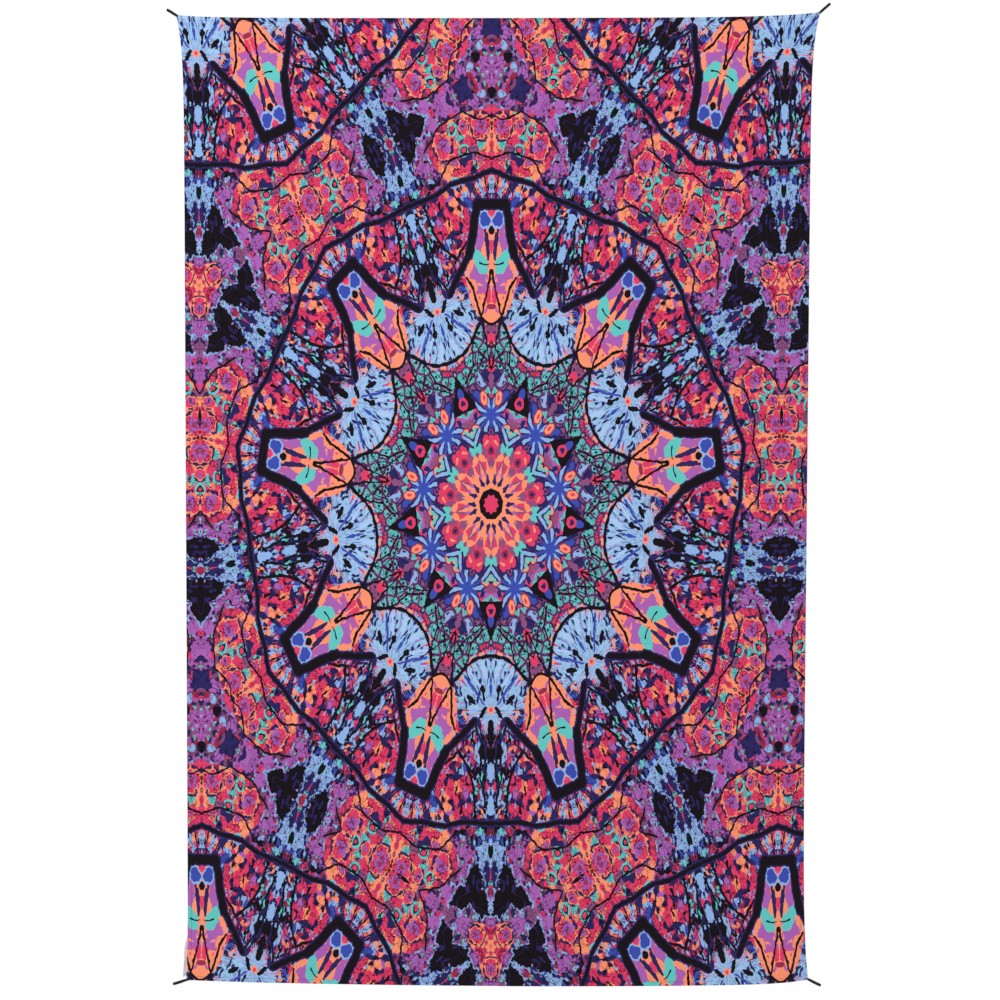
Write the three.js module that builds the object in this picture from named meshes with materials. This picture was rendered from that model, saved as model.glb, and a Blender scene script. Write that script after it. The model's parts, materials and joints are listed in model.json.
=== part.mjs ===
// A printed cotton tapestry wall hanging: one hemmed sheet of cloth, sewn round with a
// lockstitch row on each side, with a loop of folded tape sewn behind each corner.
//
// Units are millimetres. The front faces -Y and the wall is the plane Y = 0. X runs to the
// right, Z up, and the origin is the middle of the hanging, on the wall.

import * as THREE from 'three';

// ---- Cloth ----------------------------------------------------------------------------

// The finished sheet, laid flat.
const CLOTH_WIDTH = 1524;
const CLOTH_HEIGHT = 2286;
const CLOTH_THICKNESS = 0.4;

// The hem is turned twice, so it adds two layers of cloth behind the panel.
const HEM_WIDTH = 12;
const HEM_END_GAP = 0.6;

// The lockstitch row: its distance out from the hem's inner fold, and the thread's size.
const STITCH_FROM_FOLD = 2;
const THREAD_WIDTH = 0.6;
const THREAD_THICKNESS = 0.25;
const THREAD_END_GAP = 1;

// Low on the left side the hem rolls out past the panel's edge and its plain reverse shows:
// where that starts and ends, up from the bottom edge, and how far it stands out at most.
const ROLL_START = 12;
const ROLL_END = 140;
const ROLL_WIDTH = 6;

// Air between one layer and the next, and between the backmost thread and the wall.
const LAYER_GAP = 0.1;
const WALL_GAP = 0.05;

// ---- Loops ----------------------------------------------------------------------------

const TAPE_WIDTH = 6;
const TAPE_THICKNESS = 0.8;

// The clear height inside the loop's eye, and where its back leg first lies on the wall.
const EYE_HEIGHT = 5.4;
const BACK_LEG_START = 5;

// The tape sewn down behind the corner reaches this much further in than the hem is wide.
const TAIL_PAST_HEM = 2;

// The bend at the loop's root works as its hinge. It stays this far clear of the cloth's
// corner and of the sewn tape.
const ROOT_CLEARANCE = 0.6;
const KNUCKLE_GAP = 0.3;

// The bartack is a dense bar of thread over the tape.
const BARTACK_LENGTH = 1.6;
const BARTACK_INSET = 4;

// ---- How it hangs ---------------------------------------------------------------------

// shift: how far the hung corner lies from the flat sheet's, in X and Z. angle: which way
// the loop points, in degrees from +X towards +Z. reach: the loop's length.
const CORNERS = {
  top_left: { side: [-1, 1], shift: [9, 4], angle: 149, reach: 24 },
  top_right: { side: [1, 1], shift: [6, 11], angle: 41, reach: 30 },
  bottom_left: { side: [-1, -1], shift: [32, 12], angle: 197, reach: 30 },
  bottom_right: { side: [1, -1], shift: [-23, 14], angle: 334, reach: 32 },
};

// Between its corners each edge draws in from the straight line, or sags out of it where the
// sign is minus. draw: by how much at the edge's first and last end. bow: what is added at
// its middle. reach: how quickly it starts at each end. Sides run up, the others rightwards.
const EDGES = {
  left: { draw: [6, 18], bow: 0, reach: [60, 75] },
  right: { draw: [14, 20], bow: 0, reach: [110, 70] },
  bottom: { draw: [-2, -12], bow: -8, reach: [60, 60] },
  top: { draw: [6, 11], bow: 2, reach: [60, 90] },
};

// How fast an edge's shape fades into the cloth: the power of the share left to cross.
const FADE_POWER = 3;

// Straight runs between the outline's points, which are closest near the corners.
const WIDTH_STEPS = 28;
const HEIGHT_STEPS = 40;
const CURVE_STEPS = 10;

// ---- Layers, as distances out from the wall -------------------------------------------

const tailBack = WALL_GAP + THREAD_THICKNESS + LAYER_GAP;
const bobbinBack = tailBack + 2 * TAPE_THICKNESS + LAYER_GAP;
const hemBack = bobbinBack + THREAD_THICKNESS + LAYER_GAP;
const panelBack = hemBack + 2 * CLOTH_THICKNESS + LAYER_GAP;
const needleBack = panelBack + CLOTH_THICKNESS + LAYER_GAP;

// ---- Materials ------------------------------------------------------------------------

const PRINTED_COTTON = { color: 0x8f4a6c, roughness: 0.9, metalness: 0 };
const COTTON_REVERSE = { color: 0xb9a7b4, roughness: 0.92, metalness: 0 };
const SEWING_THREAD = { color: 0x2a1c28, roughness: 0.6, metalness: 0 };
const BLACK_TAPE = { color: 0x101012, roughness: 0.85, metalness: 0 };

function addMesh(parent, name, geometry, finish) {
  const mesh = new THREE.Mesh(geometry, new THREE.MeshStandardMaterial(finish));
  mesh.name = name;
  parent.add(mesh);
  return mesh;
}

// ---- The hung cloth -------------------------------------------------------------------

const { lerp } = THREE.MathUtils;

function cornerPoint({ side, shift }) {
  return new THREE.Vector2(
    (side[0] * CLOTH_WIDTH) / 2 + shift[0],
    (side[1] * CLOTH_HEIGHT) / 2 + shift[1],
  );
}

function drawnIn(edge, length, share) {
  const along = share * length;
  const start = 1 - Math.exp(-along / edge.reach[0]);
  const end = 1 - Math.exp(-(length - along) / edge.reach[1]);
  const even = lerp(edge.draw[0], edge.draw[1], share) + edge.bow * Math.sin(Math.PI * share);
  return even * start * end;
}

const fade = (share) => (1 - share) ** FADE_POWER;

// Where a point of the flat sheet hangs: x and z are its place from the sheet's middle.
function hung(x, z) {
  const across = x / CLOTH_WIDTH + 0.5;
  const up = z / CLOTH_HEIGHT + 0.5;
  const low = cornerPoint(CORNERS.bottom_left).lerp(cornerPoint(CORNERS.bottom_right), across);
  const high = cornerPoint(CORNERS.top_left).lerp(cornerPoint(CORNERS.top_right), across);
  const point = low.lerp(high, up);
  point.x += drawnIn(EDGES.left, CLOTH_HEIGHT, up) * fade(across);
  point.x -= drawnIn(EDGES.right, CLOTH_HEIGHT, up) * fade(1 - across);
  point.y += drawnIn(EDGES.bottom, CLOTH_WIDTH, across) * fade(up);
  point.y -= drawnIn(EDGES.top, CLOTH_WIDTH, across) * fade(1 - up);
  return point;
}

// Places from start to end, closest together near the two ends.
function spread(start, end, steps) {
  const share = (i) => 0.5 - 0.5 * Math.cos((Math.PI * i) / steps);
  return Array.from({ length: steps + 1 }, (_, i) => lerp(start, end, share(i)));
}

// A flat piece of the hung cloth: its outline on the wall, its back face's distance from the
// wall and its thickness.
function addLayer(parent, name, outline, back, thickness, finish) {
  const shape = new THREE.Shape(outline);
  const geometry = new THREE.ExtrudeGeometry(shape, { depth: thickness, bevelEnabled: false });
  const mesh = addMesh(parent, name, geometry, finish);
  mesh.rotation.x = Math.PI / 2;
  mesh.position.y = -back;
}

// The outline of a band of the flat sheet that runs across it, from x0 to x1.
function bandAcross(x0, x1, z0, z1) {
  const places = spread(x0, x1, WIDTH_STEPS);
  return [...places.map((x) => hung(x, z0)), ...places.reverse().map((x) => hung(x, z1))];
}

// The outline of a band that runs up it, from z0 to z1. roll moves its left side outwards.
function bandUp(x0, x1, z0, z1, roll = () => 0) {
  const places = spread(z0, z1, HEIGHT_STEPS);
  return [
    ...places.map((z) => hung(x1, z)),
    ...places.reverse().map((z) => hung(x0 - roll(z), z)),
  ];
}

const right = CLOTH_WIDTH / 2;
const top = CLOTH_HEIGHT / 2;

function addPanel(parent) {
  const acrossPlaces = spread(-right, right, WIDTH_STEPS);
  const upPlaces = spread(-top, top, HEIGHT_STEPS);
  const outline = [
    ...acrossPlaces.map((x) => hung(x, -top)),
    ...upPlaces.slice(1, -1).map((z) => hung(right, z)),
    ...acrossPlaces.toReversed().map((x) => hung(x, top)),
    ...upPlaces.slice(1, -1).reverse().map((z) => hung(-right, z)),
  ];
  addLayer(parent, 'cloth_panel', outline, panelBack, CLOTH_THICKNESS, PRINTED_COTTON);
}

// How far the left hem rolls out at a height of the flat sheet.
function hemRoll(z) {
  const share = (ROLL_END - (z + top)) / (ROLL_END - ROLL_START);
  return ROLL_WIDTH * THREE.MathUtils.smoothstep(share, 0, 1);
}

// The top and bottom hems run right across, and the side hems butt up to them.
function addHems(parent) {
  const thickness = 2 * CLOTH_THICKNESS;
  const inner = right - HEM_WIDTH;
  const low = HEM_WIDTH + HEM_END_GAP - top;
  const bands = {
    hem_top: bandAcross(-right, right, top - HEM_WIDTH, top),
    hem_bottom: bandAcross(-right, right, -top, HEM_WIDTH - top),
    hem_left: bandUp(-right, -inner, low, -low, hemRoll),
    hem_right: bandUp(inner, right, low, -low),
  };
  for (const [name, outline] of Object.entries(bands)) {
    addLayer(parent, name, outline, hemBack, thickness, COTTON_REVERSE);
  }
}

// The needle's thread lies on the panel's front and the bobbin's on the hem's back. The rows
// across run nearly to the sides, and the rows up the sides stop short of them.
function addThreads(parent) {
  const nearX = right - HEM_WIDTH + STITCH_FROM_FOLD;
  const nearZ = top - HEM_WIDTH + STITCH_FROM_FOLD;
  const farX = nearX + THREAD_WIDTH;
  const farZ = nearZ + THREAD_WIDTH;
  const endX = right - THREAD_END_GAP;
  const endZ = nearZ - THREAD_END_GAP;
  const rows = {
    top: bandAcross(-endX, endX, nearZ, farZ),
    bottom: bandAcross(-endX, endX, -farZ, -nearZ),
    left: bandUp(-farX, -nearX, -endZ, endZ),
    right: bandUp(nearX, farX, -endZ, endZ),
  };
  for (const [side, outline] of Object.entries(rows)) {
    const size = THREAD_THICKNESS;
    addLayer(parent, `needle_thread_${side}`, outline, needleBack, size, SEWING_THREAD);
    addLayer(parent, `bobbin_thread_${side}`, outline, bobbinBack, size, SEWING_THREAD);
  }
}

// ---- Corner loops ---------------------------------------------------------------------

// The middle of the two tape layers at the root, out from the wall: the hinge's place.
const hingeOut = tailBack + TAPE_THICKNESS;

// The loop from its side: x runs out from the hinge along the tape, y out from the wall.
// Its outer line goes round the knuckle, over the front leg's arch, round the fold at the
// far end and back along the wall. The eye is that line moved in by one tape thickness.
function loopProfile(reach) {
  const crest = 2 * TAPE_THICKNESS + EYE_HEIGHT;
  const rootFront = hingeOut + TAPE_THICKNESS;
  const rootBack = hingeOut - TAPE_THICKNESS;
  const crestAt = 0.45 * reach;
  const foldAt = 0.45 * crest;
  const flatEnd = 0.88 * reach;

  const shape = new THREE.Shape();
  shape.absarc(0, hingeOut, TAPE_THICKNESS, -Math.PI / 2, Math.PI / 2, true);
  shape.bezierCurveTo(0.16 * reach, rootFront, 0.2 * reach, crest, crestAt, crest);
  shape.bezierCurveTo(0.75 * reach, crest, reach, 0.8 * crest, reach, foldAt);
  shape.bezierCurveTo(reach, 0.12 * crest, 0.95 * reach, 0, flatEnd, 0);
  shape.lineTo(BACK_LEG_START, 0);
  shape.bezierCurveTo(BACK_LEG_START / 2, 0, BACK_LEG_START / 2, rootBack, 0, rootBack);

  const outer = shape.getPoints(CURVE_STEPS);
  if (outer[0].distanceTo(outer.at(-1)) < LAYER_GAP) outer.pop();
  const eye = movedIn(outer, TAPE_THICKNESS).filter((point) => point.x > BACK_LEG_START / 2);
  const solid = new THREE.Shape(outer);
  solid.holes.push(new THREE.Path(eye.reverse()));
  return solid;
}

// A closed outline that runs clockwise, moved inwards by a distance.
function movedIn(outline, distance) {
  const count = outline.length;
  return outline.map((point, i) => {
    const before = outline[(i + count - 1) % count];
    const after = outline[(i + 1) % count];
    const along = after.clone().sub(before).normalize();
    return new THREE.Vector2(point.x + along.y * distance, point.y - along.x * distance);
  });
}

function addLoop(parent, name, reach) {
  const depth = TAPE_WIDTH;
  const geometry = new THREE.ExtrudeGeometry(loopProfile(reach), { depth, bevelEnabled: false });
  const mesh = addMesh(parent, `loop_${name}`, geometry, BLACK_TAPE);
  mesh.rotation.x = Math.PI;
  mesh.position.z = TAPE_WIDTH / 2;
}

// The two ends of the tape, one on the other, sewn down behind the corner.
function addTail(parent, name) {
  const thickness = 2 * TAPE_THICKNESS;
  const length = HEM_WIDTH + TAIL_PAST_HEM;
  const geometry = new THREE.BoxGeometry(length, thickness, TAPE_WIDTH);
  const mesh = addMesh(parent, `loop_tail_${name}`, geometry, BLACK_TAPE);
  const outerEnd = TAPE_THICKNESS + KNUCKLE_GAP;
  mesh.position.set(-outerEnd - length / 2, -tailBack - thickness / 2, 0);
}

// A bar of thread that bridges the tail and comes down to the hem on both sides of it.
function addBartack(parent, name) {
  const inner = TAPE_WIDTH / 2 + LAYER_GAP;
  const outer = inner + THREAD_THICKNESS;
  const back = WALL_GAP;
  const front = hemBack - LAYER_GAP;
  const bridge = back + THREAD_THICKNESS;
  const shape = new THREE.Shape([
    new THREE.Vector2(-outer, back),
    new THREE.Vector2(outer, back),
    new THREE.Vector2(outer, front),
    new THREE.Vector2(inner, front),
    new THREE.Vector2(inner, bridge),
    new THREE.Vector2(-inner, bridge),
    new THREE.Vector2(-inner, front),
    new THREE.Vector2(-outer, front),
  ]);
  const geometry = new THREE.ExtrudeGeometry(shape, { depth: BARTACK_LENGTH, bevelEnabled: false });
  const mesh = addMesh(parent, `bartack_${name}`, geometry, SEWING_THREAD);
  const acrossTape = new THREE.Vector3(0, 0, 1);
  const fromWall = new THREE.Vector3(0, -1, 0);
  const alongTape = new THREE.Vector3(1, 0, 0);
  const turned = new THREE.Matrix4().makeBasis(acrossTape, fromWall, alongTape);
  mesh.setRotationFromMatrix(turned);
  mesh.position.x = -rootOut() - BARTACK_INSET - BARTACK_LENGTH / 2;
}

// The hinge stands this far out from the cloth's corner.
function rootOut() {
  return TAPE_THICKNESS + ROOT_CLEARANCE;
}

// In a corner's own group X runs out along the loop and Z across the tape.
function addCorner(parent, name, corner) {
  const angle = THREE.MathUtils.degToRad(corner.angle);
  const tip = cornerPoint(corner);
  const group = new THREE.Group();
  group.position.set(
    tip.x + rootOut() * Math.cos(angle),
    0,
    tip.y + rootOut() * Math.sin(angle),
  );
  group.rotation.y = -angle;
  addLoop(group, name, corner.reach);
  addTail(group, name);
  addBartack(group, name);
  parent.add(group);
}

const hanging = new THREE.Group();
addPanel(hanging);
addHems(hanging);
addThreads(hanging);
for (const [name, corner] of Object.entries(CORNERS)) addCorner(hanging, name, corner);

export default hanging;
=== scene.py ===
"""A printed cotton tapestry wall hanging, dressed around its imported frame.

The hanging is one hemmed sheet of plain-weave cotton with a kaleidoscope print. It is sewn
round with a lockstitch row, and a loop of folded black tape is sewn behind each corner.
Lengths are metres, the front faces -Y, and the wall is the plane Y = 0.
"""

from __future__ import annotations

import json
import logging
import math
from dataclasses import dataclass, field
from enum import Enum
from typing import Iterable, Sequence

import bmesh
import bpy
from mathutils import Matrix, Vector, noise
from mathutils.geometry import interpolate_bezier

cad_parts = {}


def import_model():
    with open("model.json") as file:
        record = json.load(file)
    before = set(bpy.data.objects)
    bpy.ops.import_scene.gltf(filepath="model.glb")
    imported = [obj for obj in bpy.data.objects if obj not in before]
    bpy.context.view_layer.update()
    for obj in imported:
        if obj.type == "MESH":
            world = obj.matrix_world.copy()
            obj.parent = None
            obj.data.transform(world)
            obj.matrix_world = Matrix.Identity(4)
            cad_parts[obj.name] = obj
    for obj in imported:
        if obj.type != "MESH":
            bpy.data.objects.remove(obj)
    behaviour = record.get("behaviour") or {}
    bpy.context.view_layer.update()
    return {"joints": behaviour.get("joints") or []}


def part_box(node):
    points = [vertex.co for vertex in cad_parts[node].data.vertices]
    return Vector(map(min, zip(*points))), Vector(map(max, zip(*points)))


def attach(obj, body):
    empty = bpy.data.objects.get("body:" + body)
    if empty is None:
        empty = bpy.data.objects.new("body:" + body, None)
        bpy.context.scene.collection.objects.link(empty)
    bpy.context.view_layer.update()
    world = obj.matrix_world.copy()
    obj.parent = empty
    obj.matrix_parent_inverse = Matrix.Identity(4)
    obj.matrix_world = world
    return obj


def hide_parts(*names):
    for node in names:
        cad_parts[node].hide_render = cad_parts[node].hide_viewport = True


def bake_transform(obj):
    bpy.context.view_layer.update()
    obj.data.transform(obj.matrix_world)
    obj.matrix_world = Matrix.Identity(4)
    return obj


LOG = logging.getLogger("tapestry")
MM = 0.001
WHISKER = 1e-7


# ---- Colours and finishes --------------------------------------------------------------


def linear(code: str) -> tuple[float, float, float, float]:
    """Turn a hex colour into the linear values that a shader works in.

    Args:
        code: Six hex digits, as on a dye card.

    Returns:
        Red, green, blue and an alpha of 1.
    """
    shares = [int(code[i : i + 2], 16) / 255 for i in (0, 2, 4)]
    red, green, blue = (
        s / 12.92 if s <= 0.04045 else ((s + 0.055) / 1.055) ** 2.4 for s in shares
    )
    return red, green, blue, 1.0


class Dye(Enum):
    """The inks of the print."""

    INK = "130c14"
    NAVY = "29245c"
    ROYAL = "3a4cab"
    SKY = "8cb0e2"
    ICE = "a9c6f0"
    TEAL = "60c4c0"
    PURPLE = "a660b0"
    MAUVE = "8a4f7a"
    WINE = "962f50"
    ROSE = "dd3d66"
    CORAL = "f8926f"

    @property
    def rgba(self) -> tuple[float, float, float, float]:
        """The ink's linear colour."""
        return linear(self.value)


class Layer(Enum):
    """Which way a face of the cloth looks."""

    PRINT = 0
    REVERSE = 1


class Number:
    """A number in a material: wraps the socket that gives it, so that it works in maths."""

    def __init__(self, tree: "Tree", socket: bpy.types.NodeSocket) -> None:
        """Keep the tree and the socket."""
        self.tree = tree
        self.socket = socket

    def _with(self, operation: str, *others: "Number | float") -> "Number":
        """This number and the others through one Math node."""
        return self.tree.math(operation, self, *others)

    def __add__(self, other: "Number | float") -> "Number":
        """The sum."""
        return self._with("ADD", other)

    __radd__ = __add__

    def __sub__(self, other: "Number | float") -> "Number":
        """The difference."""
        return self._with("SUBTRACT", other)

    def __rsub__(self, other: float) -> "Number":
        """The difference from a plain number."""
        return self.tree.math("SUBTRACT", other, self)

    def __mul__(self, other: "Number | float") -> "Number":
        """The product, which is also how two masks are both true."""
        return self._with("MULTIPLY", other)

    __rmul__ = __mul__

    def __truediv__(self, other: "Number | float") -> "Number":
        """The quotient."""
        return self._with("DIVIDE", other)

    def __lt__(self, other: "Number | float") -> "Number":
        """1 where this is less, else 0."""
        return self._with("LESS_THAN", other)

    def __gt__(self, other: "Number | float") -> "Number":
        """1 where this is more, else 0."""
        return self._with("GREATER_THAN", other)

    def __or__(self, other: "Number | float") -> "Number":
        """The larger, which is also how either of two masks is true."""
        return self._with("MAXIMUM", other)

    def __and__(self, other: "Number | float") -> "Number":
        """The smaller."""
        return self._with("MINIMUM", other)

    def __abs__(self) -> "Number":
        """The size without the sign."""
        return self._with("ABSOLUTE")


class Tree:
    """A material's node tree, with one method for every kind of node."""

    def __init__(self, name: str, owner: bpy.types.World | None = None) -> None:
        """Start an empty tree, on a new material unless a world is given.

        Args:
            name: The material's name.
            owner: The world that the tree lights.
        """
        self.material = owner or bpy.data.materials.new(name)
        self.material.use_nodes = True
        self.nodes = self.material.node_tree.nodes
        self.links = self.material.node_tree.links
        self.nodes.clear()

    def node(
        self,
        kind: str,
        settings: dict[str, object] | None = None,
        sockets: dict[str | int, object] | None = None,
    ) -> bpy.types.Node:
        """Add any node: its settings first, then the values or links of its sockets.

        Args:
            kind: The node's type, without the ShaderNode in front.
            settings: Its properties; stops is a colour ramp's list of place and colour.
            sockets: What its inputs take, by name or index.

        Returns:
            The node.
        """
        made = self.nodes.new("ShaderNode" + kind)
        for name, value in (settings or {}).items():
            if name == "stops":
                self._set_stops(made.color_ramp, value)
            else:
                setattr(made, name, value)
        for name, value in (sockets or {}).items():
            if isinstance(value, Number):
                self.links.new(value.socket, made.inputs[name])
            elif isinstance(value, bpy.types.NodeSocket):
                self.links.new(value, made.inputs[name])
            else:
                made.inputs[name].default_value = value
        return made

    @staticmethod
    def _set_stops(ramp: bpy.types.ColorRamp, stops: Sequence[tuple[float, Dye]]) -> None:
        """Give a ramp hard-edged bands of ink.

        Args:
            ramp: The ramp.
            stops: Where each band starts, and its ink.
        """
        ramp.interpolation = "CONSTANT"
        while len(ramp.elements) < len(stops):
            ramp.elements.new(1.0)
        for element, (place, dye) in zip(ramp.elements, stops):
            element.position = place
            element.color = dye.rgba

    def math(self, operation: str, *values: "Number | float", clamp: bool = False) -> Number:
        """Add a Math node.

        Args:
            operation: What it does.
            values: Its inputs, in order.
            clamp: Whether the result stays between 0 and 1.

        Returns:
            The result.
        """
        made = self.node(
            "Math", {"operation": operation, "use_clamp": clamp}, dict(enumerate(values))
        )
        return Number(self, made.outputs[0])

    def vector(self, operation: str, *values: object) -> bpy.types.NodeSocket:
        """Add a Vector Math node and give its vector."""
        made = self.node("VectorMath", {"operation": operation}, dict(enumerate(values)))
        return made.outputs["Vector"]

    def measure(self, operation: str, *values: object) -> Number:
        """Add a Vector Math node and give its number, such as a length or dot product."""
        made = self.node("VectorMath", {"operation": operation}, dict(enumerate(values)))
        return Number(self, made.outputs["Value"])

    def scaled(self, vector: object, factor: "Number | float") -> bpy.types.NodeSocket:
        """A vector times a number.

        Args:
            vector: The vector.
            factor: The number.

        Returns:
            The longer or shorter vector.
        """
        made = self.node(
            "VectorMath", {"operation": "SCALE"}, {"Vector": vector, "Scale": factor}
        )
        return made.outputs["Vector"]

    def joined(self, x: "Number | float", y: "Number | float") -> bpy.types.NodeSocket:
        """A vector from two numbers."""
        return self.node("CombineXYZ", None, {"X": x, "Y": y}).outputs[0]

    def split(self, vector: bpy.types.NodeSocket) -> tuple[Number, Number]:
        """A vector's first two numbers."""
        parts = self.node("SeparateXYZ", None, {0: vector}).outputs
        return Number(self, parts[0]), Number(self, parts[1])

    def noise(
        self, vector: object, scale: float, detail: float = 2.0, distortion: float = 0.0
    ) -> Number:
        """Add a Noise Texture."""
        sockets = {"Vector": vector, "Scale": scale, "Detail": detail, "Distortion": distortion}
        return Number(self, self.node("TexNoise", None, sockets).outputs[0])

    def voronoi(
        self, place: object, scale: float, output: str, feature: str = "F1"
    ) -> bpy.types.NodeSocket:
        """Add a flat Voronoi Texture."""
        settings = {"voronoi_dimensions": "2D", "feature": feature}
        return self.node("TexVoronoi", settings, {"Vector": place, "Scale": scale}).outputs[output]

    def bands(self, value: Number, stops: Sequence[tuple[float, Dye]]) -> bpy.types.NodeSocket:
        """Hard-edged bands of ink along a number."""
        return self.node("ValToRGB", {"stops": stops}, {0: value}).outputs["Color"]

    def over(self, below: object, mask: "Number | float", above: object) -> bpy.types.NodeSocket:
        """Lay a colour over another where a mask is 1.

        Args:
            below: The colour below: a socket, a Dye or four numbers.
            mask: Where the upper one shows.
            above: The colour above.

        Returns:
            The mixed colour.
        """
        colours = [c.rgba if isinstance(c, Dye) else c for c in (below, above)]
        made = self.node(
            "Mix", {"data_type": "RGBA"}, {0: mask, 6: colours[0], 7: colours[1]}
        )
        return made.outputs[2]

    def multiply(self, colour: object, by: object, factor: "Number | float" = 1.0) -> object:
        """Multiply two colours, by a share of the way.

        Args:
            colour: The first colour.
            by: The second.
            factor: How far to go.

        Returns:
            The mixed colour.
        """
        made = self.node(
            "Mix",
            {"data_type": "RGBA", "blend_type": "MULTIPLY"},
            {0: factor, 6: colour, 7: by},
        )
        return made.outputs[2]

    def grey(self, value: Number) -> bpy.types.NodeSocket:
        """A number as a grey colour."""
        return self.node("CombineColor", None, {0: value, 1: value, 2: value}).outputs[0]

    def bump(
        self, height: Number, strength: float, distance: float, under: object = None
    ) -> bpy.types.NodeSocket:
        """Add a Bump node, on top of another one's normal if given.

        Args:
            height: The height.
            strength: How strongly it shows.
            distance: How deep it is, in metres.
            under: The normal below.

        Returns:
            The bumped normal.
        """
        sockets: dict[str | int, object] = {
            "Height": height,
            "Strength": strength,
            "Distance": distance,
        }
        if under is not None:
            sockets["Normal"] = under
        return self.node("Bump", None, sockets).outputs[0]

    def finish(self, **surface: object) -> bpy.types.Material:
        """Add the surface shader and the output.

        Args:
            surface: The Principled shader's inputs, with _ for each space.

        Returns:
            The material.
        """
        inputs = {name.replace("_", " "): value for name, value in surface.items()}
        shader = self.node("BsdfPrincipled", None, inputs)
        self.node("OutputMaterial", None, {"Surface": shader.outputs[0]})
        return self.material


@dataclass(frozen=True)
class Stroke:
    """A black line of the print, drawn in one folded sector, in millimetres."""

    points: tuple[tuple[float, float], ...]
    width: float


@dataclass(frozen=True)
class Spot:
    """A place in the print's folded sector, in metres.

    Along is the distance out on a finger's axis and side the distance from that axis. The
    wedge values are the same place measured on the sector's other edge.
    """

    place: bpy.types.NodeSocket
    along: Number
    side: Number
    radius: Number
    angle: Number
    wedge: bpy.types.NodeSocket
    wedge_along: Number
    wedge_side: Number


@dataclass(frozen=True)
class Grounds:
    """The flecked colours that fill the print's regions, and four loose textures."""

    warm: bpy.types.NodeSocket
    icy: bpy.types.NodeSocket
    petal: bpy.types.NodeSocket
    rosy: bpy.types.NodeSocket
    mauve: bpy.types.NodeSocket
    rays: bpy.types.NodeSocket
    net: bpy.types.NodeSocket
    specks: Number
    streaks: Number
    veins: Number
    ragged: Number


class Flecks(Enum):
    """Shares of each ink in a flecked ground: where each one's band starts."""

    WARM = (
        (0.0, Dye.ROSE),
        (0.27, Dye.NAVY),
        (0.46, Dye.CORAL),
        (0.60, Dye.INK),
        (0.72, Dye.WINE),
        (0.80, Dye.ROYAL),
        (0.88, Dye.PURPLE),
        (0.93, Dye.SKY),
        (0.98, Dye.TEAL),
    )
    ICY = (
        (0.0, Dye.SKY),
        (0.30, Dye.INK),
        (0.55, Dye.NAVY),
        (0.70, Dye.ROYAL),
        (0.77, Dye.WINE),
        (0.83, Dye.ROSE),
        (0.88, Dye.CORAL),
        (0.91, Dye.MAUVE),
        (0.96, Dye.TEAL),
    )
    PETAL = (
        (0.0, Dye.ROSE),
        (0.50, Dye.NAVY),
        (0.66, Dye.CORAL),
        (0.84, Dye.WINE),
        (0.93, Dye.ROYAL),
        (0.97, Dye.PURPLE),
    )
    ROSY = (
        (0.0, Dye.ROSE),
        (0.44, Dye.CORAL),
        (0.60, Dye.WINE),
        (0.72, Dye.MAUVE),
        (0.84, Dye.NAVY),
        (0.94, Dye.TEAL),
    )
    MAUVE = (
        (0.0, Dye.MAUVE),
        (0.36, Dye.PURPLE),
        (0.58, Dye.ROSE),
        (0.68, Dye.NAVY),
        (0.82, Dye.SKY),
        (0.88, Dye.WINE),
        (0.95, Dye.INK),
    )
    NET = (
        (0.0, Dye.TEAL),
        (0.40, Dye.SKY),
        (0.50, Dye.TEAL),
        (0.63, Dye.MAUVE),
        (0.75, Dye.ROSE),
        (0.86, Dye.CORAL),
        (0.92, Dye.NAVY),
    )
    RAYS = (
        (0.0, Dye.INK),
        (0.34, Dye.ROYAL),
        (0.385, Dye.SKY),
        (0.44, Dye.ICE),
        (0.49, Dye.TEAL),
        (0.505, Dye.SKY),
        (0.55, Dye.ICE),
        (0.60, Dye.NAVY),
        (0.63, Dye.SKY),
        (0.69, Dye.PURPLE),
    )


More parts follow.
